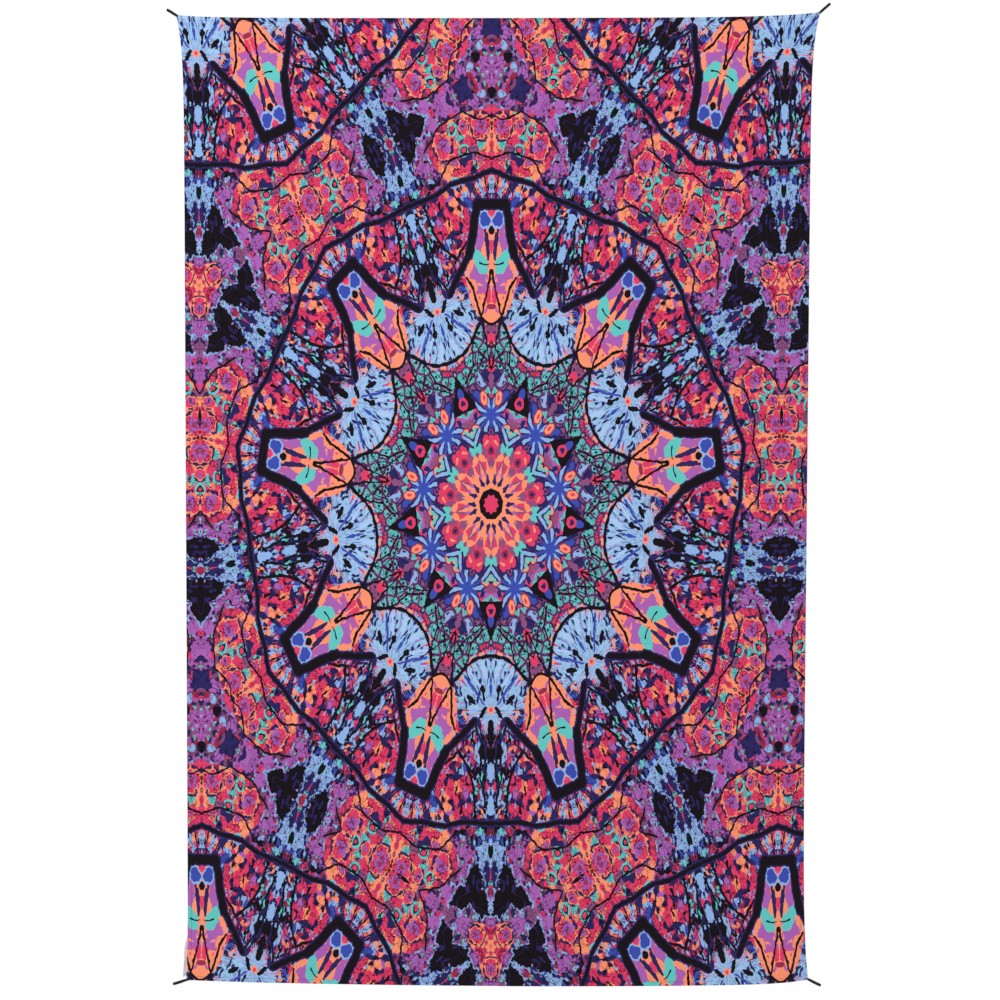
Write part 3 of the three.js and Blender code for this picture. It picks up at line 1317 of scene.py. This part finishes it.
@dataclass(frozen=True)
class Edge:
    """How an edge draws in from the straight line between its corners."""

    draw: tuple[float, float]
    reach: tuple[float, float]
    bow: float = 0.0

    def drawn_in(self, length: float, share: float) -> float:
        """How far the edge lies inside the straight line.

        Args:
            length: The edge's flat length.
            share: The place along it, from 0 to 1.

        Returns:
            The distance in; minus is out.
        """
        share = min(max(share, 0.0), 1.0)
        start = 1 - math.exp(-share * length / self.reach[0])
        end = 1 - math.exp(-(1 - share) * length / self.reach[1])
        even = self.draw[0] + (self.draw[1] - self.draw[0]) * share
        return (even + self.bow * math.sin(math.pi * share)) * start * end


@dataclass
class Sheet:
    """The hemmed sheet as it hangs: where each point of the flat cloth lies."""

    FLAT_MAP = "flat_cloth"

    width: float = 1524 * MM
    height: float = 2286 * MM
    thickness: float = 0.4 * MM
    hem_width: float = 12 * MM
    stitch_from_fold: float = 2 * MM
    fade_power: int = 3
    bottom_left: Corner = Corner((-1, -1), (32 * MM, 12 * MM))
    bottom_right: Corner = Corner((1, -1), (-23 * MM, 14 * MM))
    top_left: Corner = Corner((-1, 1), (9 * MM, 4 * MM))
    top_right: Corner = Corner((1, 1), (6 * MM, 11 * MM))
    left: Edge = Edge((6 * MM, 18 * MM), (60 * MM, 75 * MM))
    right: Edge = Edge((14 * MM, 20 * MM), (110 * MM, 70 * MM))
    bottom: Edge = Edge((-2 * MM, -12 * MM), (60 * MM, 60 * MM), -8 * MM)
    top: Edge = Edge((6 * MM, 11 * MM), (60 * MM, 90 * MM), 2 * MM)
    ripple: float = 2.6 * MM
    tension: float = 2.4 * MM
    pucker: float = 0.7 * MM

    def __post_init__(self) -> None:
        """Take each layer's distance from the wall from the frame."""
        low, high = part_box("cloth_panel")
        self.panel_front = -low.y
        self.panel_back = -high.y
        low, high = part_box("hem_top")
        self.hem_front = -low.y
        self.hem_back = -high.y

    def corner_at(self, corner: Corner) -> Vector:
        """Where a corner hangs, as X and Z.

        Args:
            corner: The corner.

        Returns:
            Its place.
        """
        return Vector(
            (
                corner.side[0] * self.width / 2 + corner.shift[0],
                corner.side[1] * self.height / 2 + corner.shift[1],
            )
        )

    def hung(self, x: float, z: float) -> Vector:
        """Where a point of the flat sheet hangs.

        Args:
            x: Its place across the flat sheet, from the middle.
            z: Its place up it.

        Returns:
            X and Z as hung.
        """
        across = x / self.width + 0.5
        up = z / self.height + 0.5
        low = self.corner_at(self.bottom_left).lerp(self.corner_at(self.bottom_right), across)
        high = self.corner_at(self.top_left).lerp(self.corner_at(self.top_right), across)
        point = low.lerp(high, up)
        power = self.fade_power
        point.x += self.left.drawn_in(self.height, up) * (1 - across) ** power
        point.x -= self.right.drawn_in(self.height, up) * across**power
        point.y += self.bottom.drawn_in(self.width, across) * (1 - up) ** power
        point.y -= self.top.drawn_in(self.width, across) * up**power
        return point

    def relief(self, x: float, z: float) -> float:
        """How far the cloth stands out in front of its flat plane.

        Args:
            x: The place across the flat sheet.
            z: The place up it.

        Returns:
            The distance forward, which is never much below 0.
        """
        edge_x = max(self.width / 2 - abs(x), 0.0)
        edge_z = max(self.height / 2 - abs(z), 0.0)
        inside = 1 - math.exp(-min(edge_x, edge_z) / (90 * MM))
        slant = z * 0.12 + 30 * MM * noise.noise(Vector((x * 2, z * 1.4, 3)))
        waves = noise.noise(Vector(((x + slant) * 6.5, z * 0.9, 0)))
        waves += 0.6 * noise.noise(Vector(((x - slant) * 11, z * 1.3, 7)))
        out = self.ripple * (1.1 + 1.5 * waves) * inside
        for corner in (self.top_left, self.top_right, self.bottom_left, self.bottom_right):
            across = abs(corner.side[0] * self.width / 2 - x)
            up = abs(corner.side[1] * self.height / 2 - z)
            distance = math.hypot(across, up)
            turn = math.atan2(up, across + 1e-9)
            grow = 1 - math.exp(-distance / (45 * MM))
            fall = math.exp(-distance / (230 * MM))
            ridge = 0.5 + 0.5 * math.cos(turn * 11 + 2 * corner.side[0] + distance * 3)
            out += self.tension * ridge * grow * fall
        along = x if edge_z < edge_x else z
        near = math.exp(-min(edge_x, edge_z) / (24 * MM))
        gather = noise.noise(Vector((along * 21, min(edge_x, edge_z) * 9, 11)))
        out += self.pucker * (0.5 + gather) * near * inside_taper(edge_x, edge_z)
        return max(out, -0.4 * MM)

    def point(self, x: float, z: float, out: float) -> Vector:
        """A point of the hung cloth."""
        place = self.hung(x, z)
        return Vector((place.x, -out - self.relief(x, z), place.y))


def inside_taper(edge_x: float, edge_z: float) -> float:
    """From 0 at a corner of the sheet to 1 away from it."""
    return 1 - math.exp(-math.hypot(edge_x, edge_z) / (60 * MM))


# ---- Mesh helpers ----------------------------------------------------------------------


def new_piece(
    name: str, bm: bmesh.types.BMesh, materials: Iterable[bpy.types.Material]
) -> bpy.types.Object:
    """Turn a bmesh into an object at the origin.

    Args:
        name: The piece's name.
        bm: Its mesh, which is freed.
        materials: Its materials, in slot order.

    Returns:
        The object.
    """
    mesh = bpy.data.meshes.new(name)
    bm.to_mesh(mesh)
    bm.free()
    for material in materials:
        mesh.materials.append(material)
    mesh.shade_smooth()
    piece = bpy.data.objects.new(name, mesh)
    bpy.context.collection.objects.link(piece)
    return piece


def stations(length: float, step: float, ends: Sequence[float]) -> list[float]:
    """Places along a line from the middle, with closer ones near its two ends.

    Args:
        length: The line's length.
        step: The wanted gap away from the ends.
        ends: How far in from each end the closer places are, smallest first.

    Returns:
        The places, in order.
    """
    half = length / 2 - ends[-1]
    count = max(round(2 * half / step), 1)
    inner = [-half + 2 * half * i / count for i in range(count + 1)]
    near = [length / 2 - e for e in ends[:-1]]
    return [-n for n in near] + inner + near[::-1]


def grid(bm: bmesh.types.BMesh, columns: Sequence[float], rows: Sequence[float]) -> None:
    """Make a grid in the XY plane with uneven gaps.

    Args:
        bm: The mesh it is added to, which is empty.
        columns: The X of each column.
        rows: The Y of each row.
    """
    across = len(columns) - 1
    up = len(rows) - 1
    bmesh.ops.create_grid(bm, x_segments=across, y_segments=up, size=0.5)
    for vert in bm.verts:
        column = round((vert.co.x + 0.5) * across)
        row = round((vert.co.y + 0.5) * up)
        vert.co = (columns[column], rows[row], 0)


def bead(
    bm: bmesh.types.BMesh, centre: Vector, along: Vector, out: Vector, size: Vector
) -> None:
    """Add one stitch: a low lozenge of thread.

    Args:
        bm: The mesh it is added to.
        centre: Its middle.
        along: The way it runs.
        out: The way its back faces.
        size: Its length, width and thickness.
    """
    along = along.normalized()
    across = out.cross(along).normalized()
    out = along.cross(across)
    turn = Matrix((along, across, out)).transposed().to_4x4()
    shape = Matrix.Diagonal((*(size / 2), 1))
    matrix = Matrix.Translation(centre) @ turn @ shape
    bmesh.ops.create_icosphere(bm, subdivisions=1, radius=1, matrix=matrix)


# ---- Pieces of the hanging -------------------------------------------------------------


@dataclass
class ClothPanel:
    """The printed panel, with its edges turned back round the hems."""

    sheet: Sheet
    step: float = 10 * MM
    edge_rows: tuple[float, ...] = (0.45, 3, 6, 8.4, 9.7, 11, 13, 17, 24)
    lip_steps: int = 3

    # The map for baking: where each layer starts and its scale, then margins and spans.
    BAKE_PLACES = {Layer.PRINT: (0.0, 1.0), Layer.REVERSE: (0.675, 0.5)}
    BAKE_MARGIN = 4 * MM
    BAKE_RIM = 1.0008
    BAKE_WIDE = 0.96
    BAKE_LOW = 0.001
    BAKE_TALL = 0.998

    def _lip(self, x: float, z: float) -> float:
        """The radius of the turned edge, which opens out where the left hem has rolled.

        Args:
            x: The place across the flat sheet.
            z: The place up it.

        Returns:
            The radius.
        """
        full = self.edge_rows[0] * MM
        if x > 0:
            return full
        rolled = min(LeftHem.roll(self.sheet, z) / MM, 1.0)
        return full + (0.04 * MM - full) * rolled

    def _turned(self, x: float, z: float, step: int) -> Vector:
        """Where a point of the turned edge lies.

        Args:
            x: The place across the flat sheet of the panel's edge before the turn.
            z: The place up it.
            step: How far round the turn it is, from 0 to lip_steps.

        Returns:
            The point.
        """
        radius = self._lip(x, z)
        angle = math.pi * step / self.lip_steps
        beyond = radius * math.sin(angle)
        back = radius * (1 - math.cos(angle))
        right = self.sheet.width / 2 - self.edge_rows[0] * MM - 1e-6
        top = self.sheet.height / 2 - self.edge_rows[0] * MM - 1e-6
        turned_x = x + math.copysign(beyond if abs(x) > right else 0, x)
        turned_z = z + math.copysign(beyond if abs(z) > top else 0, z)
        point = self.sheet.point(turned_x, turned_z, self.sheet.panel_front)
        point.y += back
        return point

    def _maps(self, bm: bmesh.types.BMesh, flat: object, front: set[int]) -> None:
        """Give each corner its place on the flat cloth, and on a map with no overlaps.

        Args:
            bm: The panel's mesh.
            flat: The layer that holds each vertex's place on the flat cloth.
            front: The vertices of the front shell, by index.
        """
        flat_map = bm.loops.layers.uv.new(Sheet.FLAT_MAP)
        bake_map = bm.loops.layers.uv.new("OFBake")
        tall = self.sheet.height + 2 * self.BAKE_MARGIN
        for face in bm.faces:
            sides = {v.index in front for v in face.verts}
            layer = Layer.REVERSE if sides == {False} else Layer.PRINT
            face.material_index = layer.value
            start, scale = self.BAKE_PLACES[layer]
            for loop in face.loops:
                place = loop.vert[flat]
                loop[flat_map].uv = place.xy
                rim = 1.0
                if sides == {True, False} and loop.vert.index not in front:
                    rim = self.BAKE_RIM
                u = (place.x * rim + self.sheet.width / 2 + self.BAKE_MARGIN) / tall
                v = (place.y * rim + self.sheet.height / 2 + self.BAKE_MARGIN) / tall
                across = start + u * scale * self.BAKE_WIDE
                loop[bake_map].uv = (across, self.BAKE_LOW + v * scale * self.BAKE_TALL)

    def build(self) -> bmesh.types.BMesh:
        """Shape the panel.

        Returns:
            Its mesh.
        """
        ends = [e * MM for e in self.edge_rows]
        columns = stations(self.sheet.width, self.step, ends)
        rows = stations(self.sheet.height, self.step, ends)
        bm = bmesh.new()
        grid(bm, columns, rows)
        flat = bm.verts.layers.float_vector.new("flat")
        for vert in bm.verts:
            x, z = vert.co.x, vert.co.y
            vert[flat] = (x, z, 0)
            vert.co = self.sheet.point(x, z, self.sheet.panel_front)
        edges = [e for e in bm.edges if e.is_boundary]
        base = {v: Vector(v[flat]) for e in edges for v in e.verts}
        for step in range(1, self.lip_steps + 1):
            made = bmesh.ops.extrude_edge_only(bm, edges=edges)["geom"]
            verts = [g for g in made if isinstance(g, bmesh.types.BMVert)]
            edges = [g for g in made if isinstance(g, bmesh.types.BMEdge)]
            edges = [e for e in edges if e.is_boundary]
            later = {}
            for vert in verts:
                old = next(
                    e.other_vert(vert) for e in vert.link_edges if e.other_vert(vert) in base
                )
                place = base[old]
                later[vert] = place
                vert.co = self._turned(place.x, place.y, step)
                arc = self._lip(place.x, place.y) * math.pi * step / self.lip_steps
                share = 1 + arc / (self.sheet.width / 2)
                vert[flat] = (place.x * share, place.y * share, 0)
            base = later
        bmesh.ops.recalc_face_normals(bm, faces=bm.faces[:])
        middle = min(bm.faces, key=lambda f: f.calc_center_median().xz.length)
        if middle.normal.y > 0:
            bmesh.ops.reverse_faces(bm, faces=bm.faces[:])
        bm.verts.index_update()
        front = {v.index for v in bm.verts}
        bmesh.ops.solidify(bm, geom=bm.faces[:], thickness=self.sheet.thickness)
        bm.verts.index_update()
        self._maps(bm, flat, front)
        return bm

    def make(self, finishes: Sequence[bpy.types.Material]) -> bpy.types.Object:
        """Build the panel and put it in its place.

        Args:
            finishes: The printed finish and the reverse.

        Returns:
            The piece.
        """
        piece = new_piece("panel", self.build(), finishes)
        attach(piece, "cloth")
        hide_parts("cloth_panel")
        return piece


@dataclass
class Hem:
    """A hem: the panel's margin turned twice to the back, so its outside is printed."""

    sheet: Sheet
    name: str
    across: bool
    side: int
    step: float = 10 * MM
    end_gap: float = 0.6 * MM
    edge_inset: float = 0.75 * MM
    round_over: float = 0.3 * MM

    END_STEPS = (0, 3 * MM, 8 * MM, 17 * MM)
    WIDTH_SHARES = (0, 0.16, 0.3, 0.5, 0.7, 0.86, 1)

    def _outer(self, along: float) -> float:
        """How far the hem's outer edge lies inside the sheet's; a rolled hem's is less."""
        return self.edge_inset

    def _flat(self, along: float, inset: float) -> tuple[float, float]:
        """A place on the flat sheet, from a place along the edge and in from it."""
        if self.across:
            return along, self.side * (self.sheet.height / 2 - inset)
        return self.side * (self.sheet.width / 2 - inset), along

    def _length(self) -> float:
        """How long the hem is; the side hems butt up to the other two."""
        if self.across:
            return self.sheet.width - 2 * self.edge_inset
        return self.sheet.height - 2 * (self.sheet.hem_width + self.end_gap)

    def build(self) -> bmesh.types.BMesh:
        """Shape the hem.

        Returns:
            Its mesh.
        """
        bm = bmesh.new()
        places = stations(self._length(), self.step, self.END_STEPS)
        grid(bm, places, self.WIDTH_SHARES)
        flat = bm.verts.layers.float_vector.new("flat")
        thickness = self.sheet.hem_front - self.sheet.hem_back
        width = self.sheet.hem_width
        for vert in bm.verts:
            along, share = vert.co.x, vert.co.y
            outer = self._outer(along)
            inset = outer + (width - outer) * share
            x, z = self._flat(along, inset)
            vert[flat] = (*self._flat(along, -inset), 0)
            vert.co = self.sheet.point(x, z, self.sheet.hem_back)
        bmesh.ops.recalc_face_normals(bm, faces=bm.faces[:])
        if next(iter(bm.faces)).normal.y < 0:
            bmesh.ops.reverse_faces(bm, faces=bm.faces[:])
        bmesh.ops.solidify(bm, geom=bm.faces[:], thickness=thickness)
        bm.normal_update()
        sharp = [e for e in bm.edges if e.calc_face_angle(0) > 1.0]
        bmesh.ops.bevel(
            bm,
            geom=sharp,
            offset=self.round_over,
            offset_type="OFFSET",
            affect="EDGES",
            segments=2,
            profile=0.5,
            material=-1,
            clamp_overlap=True,
        )
        bm.normal_update()
        layer = bm.loops.layers.uv.new(Sheet.FLAT_MAP)
        for face in bm.faces:
            face.material_index = 1 if face.normal.y < -0.6 else 0
            for loop in face.loops:
                loop[layer].uv = loop.vert[flat].xy
        return bm

    def make(self, finishes: Sequence[bpy.types.Material]) -> bpy.types.Object:
        """Build the hem and put it in its place.

        Args:
            finishes: The printed finish and the reverse.

        Returns:
            The piece.
        """
        piece = new_piece(f"{self.name}_folded", self.build(), finishes)
        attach(piece, "cloth")
        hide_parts(self.name)
        return piece


@dataclass
class LeftHem(Hem):
    """The left hem, which has rolled out a little near the bottom."""

    ROLL_START = 70 * MM
    ROLL_END = 115 * MM
    ROLL_WIDTH = 8 * MM
    SLANT_LENGTH = 24 * MM

    @classmethod
    def roll(cls, sheet: Sheet, z: float) -> float:
        """How far the hem shows beyond the panel.

        Args:
            sheet: The hung sheet.
            z: The place up the flat sheet.

        Returns:
            The distance.
        """
        share = (cls.ROLL_END - (z + sheet.height / 2)) / (cls.ROLL_END - cls.ROLL_START)
        share = min(max(share, 0.0), 1.0)
        return cls.ROLL_WIDTH * share * share * (3 - 2 * share)

    def _outer(self, along: float) -> float:
        """How far the hem's outer edge lies inside the sheet's, or outside it if minus."""
        return self.edge_inset * 0.98 - self.roll(self.sheet, along)

    def _flat(self, along: float, inset: float) -> tuple[float, float]:
        """A place on the flat sheet; the rolled part slants down towards the corner."""
        up = along + self.sheet.height / 2 - self.sheet.hem_width
        slant = max(-inset, 0) * max(1 - up / self.SLANT_LENGTH, 0)
        return super()._flat(along - slant * 0.8, inset)


@dataclass
class StitchRow:
    """A row of lockstitch: the needle's thread in front and the bobbin's behind."""

    sheet: Sheet
    name: str
    across: bool
    side: int
    pitch: float = 3 * MM
    stitch: Vector = field(default_factory=lambda: Vector((2.75, 0.6, 0.3)) * MM)
    end_gap: float = 1 * MM

    def __post_init__(self) -> None:
        """Take the two threads' distances from the wall from the frame."""
        self.outs = []
        for thread in ("needle_thread_", "bobbin_thread_"):
            low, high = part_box(thread + self.name)
            self.outs.append(-(low.y + high.y) / 2)
        self.inset = self.sheet.hem_width - self.sheet.stitch_from_fold - self.stitch.y / 2

    def _place(self, along: float, out: float) -> Vector:
        """A point of the row.

        Args:
            along: How far along the row it is from its middle.
            out: Its distance from the wall.

        Returns:
            The point.
        """
        if self.across:
            across = self.side * (self.sheet.height / 2 - self.inset)
            return self.sheet.point(along, across, out)
        return self.sheet.point(
            self.side * (self.sheet.width / 2 - self.inset), along, out
        )

    def build(self) -> bmesh.types.BMesh:
        """Shape the stitches.

        Returns:
            Their mesh.
        """
        half = self.sheet.width / 2 - self.end_gap
        if not self.across:
            half = self.sheet.height / 2 - self.inset - 2 * self.end_gap
        count = int(2 * half / self.pitch)
        bm = bmesh.new()
        for i in range(count):
            along = -half + (i + 0.5) * 2 * half / count
            wander = 0.12 * noise.noise(Vector((along * 30, self.side, self.across)))
            for out, way in zip(self.outs, (-1, 1)):
                start = self._place(along - self.pitch * 0.4, out)
                end = self._place(along + self.pitch * 0.4, out)
                run = end - start
                skew = run.cross(Vector((0, 1, 0))).normalized() * wander * MM
                bead(
                    bm,
                    (start + end) / 2 + skew,
                    run + skew * 0.8,
                    Vector((0, way, 0)),
                    self.stitch,
                )
        return bm

    def make(self, finish: bpy.types.Material) -> bpy.types.Object:
        """Build the row and put it in its place.

        Args:
            finish: The thread's finish.

        Returns:
            The piece.
        """
        piece = new_piece(f"stitches_{self.name}", self.build(), [finish])
        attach(piece, "cloth")
        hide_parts(f"needle_thread_{self.name}", f"bobbin_thread_{self.name}")
        return piece


@dataclass
class TapeLoop:
    """A corner's loop: one length of tape, folded in half and sewn down at its ends.

    Its joint gives its place: along runs out from the hinge, and across is the hinge.
    """

    TAPE_MAP = "along_tape"
    WIDTH_SHARES = (-1, -0.93, -0.6, 0, 0.6, 0.93, 1)

    name: str
    joint: dict[str, object]
    reach: float
    width: float = 6 * MM
    thickness: float = 0.8 * MM
    eye_height: float = 5.4 * MM
    tail_length: float = 14 * MM
    tail_start: float = 1.1 * MM
    back_leg_start: float = 5 * MM
    slack: float = 0.03 * MM
    twist: float = 2.0

    def __post_init__(self) -> None:
        """Take the hinge's place and directions from the frame."""
        self.root = Vector(self.joint["pos_m"])
        self.across = Vector(self.joint["axis"])
        self.along = Vector((-self.across.z, 0, self.across.x))
        low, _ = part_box(f"loop_tail_{self.name}")
        self.hinge_out = -low.y - self.thickness

    def _outline(self) -> list[Vector]:
        """The tape's outer line: out from the wall's side, over the crest and back.

        Returns:
            Points with the distance out along the loop, and out from the wall.
        """
        reach = self.reach
        crest = 2 * self.thickness + self.eye_height
        front = self.hinge_out + self.thickness
        back = self.hinge_out - self.thickness
        flat_end = 0.88 * reach
        start = self.back_leg_start
        spans = (
            ((0, front), (0.16 * reach, front), (0.2 * reach, crest), (0.45 * reach, crest)),
            (
                (0.45 * reach, crest),
                (0.75 * reach, crest),
                (reach, 0.8 * crest),
                (reach, 0.45 * crest),
            ),
            ((reach, 0.45 * crest), (reach, 0.12 * crest), (0.95 * reach, 0), (flat_end, 0)),
            ((flat_end, 0), (0.6 * reach, 0), (0.4 * reach, 0), (start, 0)),
            ((start, 0), (start / 2, 0), (start / 2, back), (0, back)),
        )
        tail = -self.tail_start - self.tail_length
        points = [Vector((tail * (1 - i / 8), front)) for i in range(8)]
        for span in spans:
            knots = [Vector((*p, 0)) for p in span]
            points += [p.xy for p in interpolate_bezier(*knots, 13)][:-1]
        points += [Vector((tail * i / 8, back)) for i in range(9)]
        return points

    def build(self) -> bmesh.types.BMesh:
        """Shape the tape.

        Returns:
            Its mesh.
        """
        outline = self._outline()
        columns = [0.0]
        for before, after in zip(outline, outline[1:]):
            columns.append(columns[-1] + (after - before).length)
        half = self.width / 2
        rows = [half * r for r in self.WIDTH_SHARES]
        bm = bmesh.new()
        grid(bm, range(len(outline)), rows)
        flat = bm.verts.layers.float_vector.new("flat")
        for vert in bm.verts:
            i = round(vert.co.x)
            side = vert.co.y
            u, out = outline[i]
            share = i / (len(outline) - 1)
            free = max(math.sin(math.pi * min(max(u / self.reach, 0), 1)), 0)
            lean = math.radians(self.twist) * free * (1 if out > self.hinge_out else 0)
            cup = 0.12 * MM * free * (side / half) ** 2 if out > self.hinge_out else 0
            vert[flat] = (columns[i], side, share)
            vert.co = (
                self.root
                + self.along * (u - side * math.sin(lean))
                + self.across * (side + 0.15 * MM * noise.noise(Vector((share * 9, 1, 0))) * free)
                + Vector((0, -self.root.y - out + cup, 0))
            )
        bmesh.ops.recalc_face_normals(bm, faces=bm.faces[:])
        first = min(bm.faces, key=lambda f: f.calc_center_median().y)
        if first.normal.y > 0:
            bmesh.ops.reverse_faces(bm, faces=bm.faces[:])
        bmesh.ops.solidify(bm, geom=bm.faces[:], thickness=self.thickness - self.slack)
        layer = bm.loops.layers.uv.new(self.TAPE_MAP)
        for face in bm.faces:
            for loop in face.loops:
                loop[layer].uv = loop.vert[flat].xy
        return bm

    def make(self, finish: bpy.types.Material) -> bpy.types.Object:
        """Build the loop in its place at the hinge.

        Args:
            finish: The tape's finish.

        Returns:
            The piece.
        """
        piece = new_piece(f"tape_{self.name}", self.build(), [finish])
        self.root - self.along * 1.3 * MM
        self.root + self.along * 1.3 * MM
        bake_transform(piece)
        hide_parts(f"loop_{self.name}", f"loop_tail_{self.name}")
        return piece


@dataclass
class Bartack:
    """A close zigzag of thread that bars a loop's tail to the hem."""

    sheet: Sheet
    loop: TapeLoop
    strands: int = 9
    length: float = 2.4 * MM
    overhang: float = 0.4 * MM
    thread: float = 0.36 * MM
    proud: float = 0.12 * MM

    def build(self) -> bmesh.types.BMesh:
        """Shape the strands, behind the tail and on the panel's front.

        Returns:
            Their mesh.
        """
        low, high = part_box(f"bartack_{self.loop.name}")
        centre = (low + high) / 2
        behind = -high.y + self.thread / 2
        along, across = self.loop.along, self.loop.across
        reach = self.loop.width / 2 + self.overhang
        place = centre - self.loop.root
        inward = place.dot(along)
        bm = bmesh.new()
        for i in range(self.strands):
            u = inward + (i / (self.strands - 1) - 0.5) * self.length
            lean = (-1) ** i * 0.35 * self.length / self.strands
            for out, way, wide in ((behind, 1, 1.0), (None, -1, 0.8)):
                middle = self.loop.root + along * u
                if out is None:
                    out = -self.sheet_front(middle) + self.proud
                middle.y = -out
                run = across * reach * wide + along * lean
                size = Vector((2 * reach * wide, self.thread, self.thread * 0.7))
                bead(bm, middle, run, Vector((0, way, 0)), size)
        return bm

    def sheet_front(self, middle: Vector) -> float:
        """The Y of the panel's front near a point, whose hung place stands for its flat one."""
        return -self.sheet.panel_front - self.sheet.relief(middle.x, middle.z)

    def make(self, finish: bpy.types.Material) -> bpy.types.Object:
        """Build the bartack and put it in its place.

        Args:
            finish: The thread's finish.

        Returns:
            The piece.
        """
        name = f"bartack_{self.loop.name}"
        piece = new_piece(f"{name}_strands", self.build(), [finish])
        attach(piece, "cloth")
        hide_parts(name)
        return piece


@dataclass
class Hanging:
    """The whole wall hanging."""

    joints: Sequence[dict[str, object]]
    reaches: dict[str, float] = field(
        default_factory=lambda: {
            "top_left": 24 * MM,
            "top_right": 30 * MM,
            "bottom_left": 30 * MM,
            "bottom_right": 32 * MM,
        }
    )

    def build(self) -> None:
        """Build and dress every piece."""
        sheet = Sheet()
        cotton = CottonFinish()
        finishes = [cotton.front(), cotton.back()]
        thread = ThreadFinish().material()
        tape = TapeFinish().material()
        panel = ClothPanel(sheet).make(finishes)
        report(panel)
        going: list[bpy.types.Object] = []
        sides = (("top", True, 1), ("bottom", True, -1), ("left", False, -1), ("right", False, 1))
        for name, across, side in sides:
            kind = LeftHem if name == "left" else Hem
            going.append(kind(sheet, f"hem_{name}", across, side).make(finishes))
            going.append(StitchRow(sheet, name, across, side).make(thread))
        for joint in self.joints:
            name = joint["name"].removesuffix("_swing")
            loop = TapeLoop(name, joint, self.reaches[name])
            going.append(Bartack(sheet, loop).make(thread))
            report(loop.make(tape))
        for piece in going:
            report(piece)


def report(piece: bpy.types.Object) -> None:
    """Log a piece's name and size."""
    LOG.info("%s: %d faces", piece.name, len(piece.data.polygons))


# ---- Studio ----------------------------------------------------------------------------


@dataclass(frozen=True)
class Studio:
    """A white studio with a pale floor, a soft key light and the camera."""

    camera_at: tuple[float, float, float] = (0.0118, -5.576, 0.0024)
    lens: float = 85.0
    fill: float = 0.82
    key_power: float = 92.0
    floor_z: float = -1.5

    def _world(self) -> None:
        """Light everything softly, on a white background."""
        world = bpy.data.worlds.new("studio")
        bpy.context.scene.world = world
        tree = Tree(world.name, world)
        glow = {"Color": (1, 0.99, 0.98, 1), "Strength": self.fill}
        light = tree.node("Background", None, glow).outputs[0]
        seen = tree.node("Background", None, {"Color": (1, 1, 1, 1)}).outputs[0]
        by_camera = tree.node("LightPath").outputs["Is Camera Ray"]
        mix = tree.node("MixShader", None, {0: by_camera, 1: light, 2: seen})
        tree.node("OutputWorld", None, {"Surface": mix.outputs[0]})

    def _lamp(self, name: str, place: Vector, size: float, power: float) -> None:
        """Hang a soft square lamp that looks at the middle.

        Args:
            name: The lamp's name.
            place: Where it hangs.
            size: Its side.
            power: Its power in watts.
        """
        data = bpy.data.lights.new(name, "AREA")
        data.shape = "SQUARE"
        data.size = size
        data.energy = power
        lamp = bpy.data.objects.new(name, data)
        lamp.location = place
        lamp.rotation_euler = (-place).to_track_quat("-Z", "Y").to_euler()
        bpy.context.collection.objects.link(lamp)

    def _floor(self) -> None:
        """Lay the pale floor."""
        bm = bmesh.new()
        bmesh.ops.create_grid(bm, x_segments=1, y_segments=1, size=1)
        bmesh.ops.scale(bm, vec=(3.0, 2.2, 1), verts=bm.verts[:])
        bmesh.ops.translate(bm, vec=(0, -0.8, self.floor_z), verts=bm.verts[:])
        tree = Tree("studio_floor")
        place = tree.node("TexCoord").outputs["Object"]
        cloudy = tree.noise(place, 3, detail=3) * 0.04 + 0.78
        material = tree.finish(Base_Color=tree.grey(cloudy), Roughness=0.7)
        new_piece("floor", bm, [material])

    def build(self) -> None:
        """Set up the studio."""
        self._world()
        self._lamp("key", Vector((-2.6, -4.2, 2.6)), 2.4, self.key_power)
        self._lamp("rim", Vector((2.0, 3.2, 2.4)), 2.0, self.key_power * 0.3)
        self._floor()
        data = bpy.data.cameras.new("camera")
        data.lens = self.lens
        data.sensor_width = 36
        camera = bpy.data.objects.new("camera", data)
        camera.location = self.camera_at
        camera.rotation_euler = (math.pi / 2, 0, 0)
        bpy.context.collection.objects.link(camera)
        bpy.context.scene.camera = camera
        bpy.context.scene.view_settings.view_transform = "Standard"


def main() -> None:
    """Build the hanging and the studio."""
    logging.basicConfig(level=logging.INFO, format="%(name)s %(message)s")
    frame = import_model()
    Hanging(frame["joints"]).build()
    Studio().build()
    bpy.context.view_layer.update()


if __name__ == "__main__":
    main()
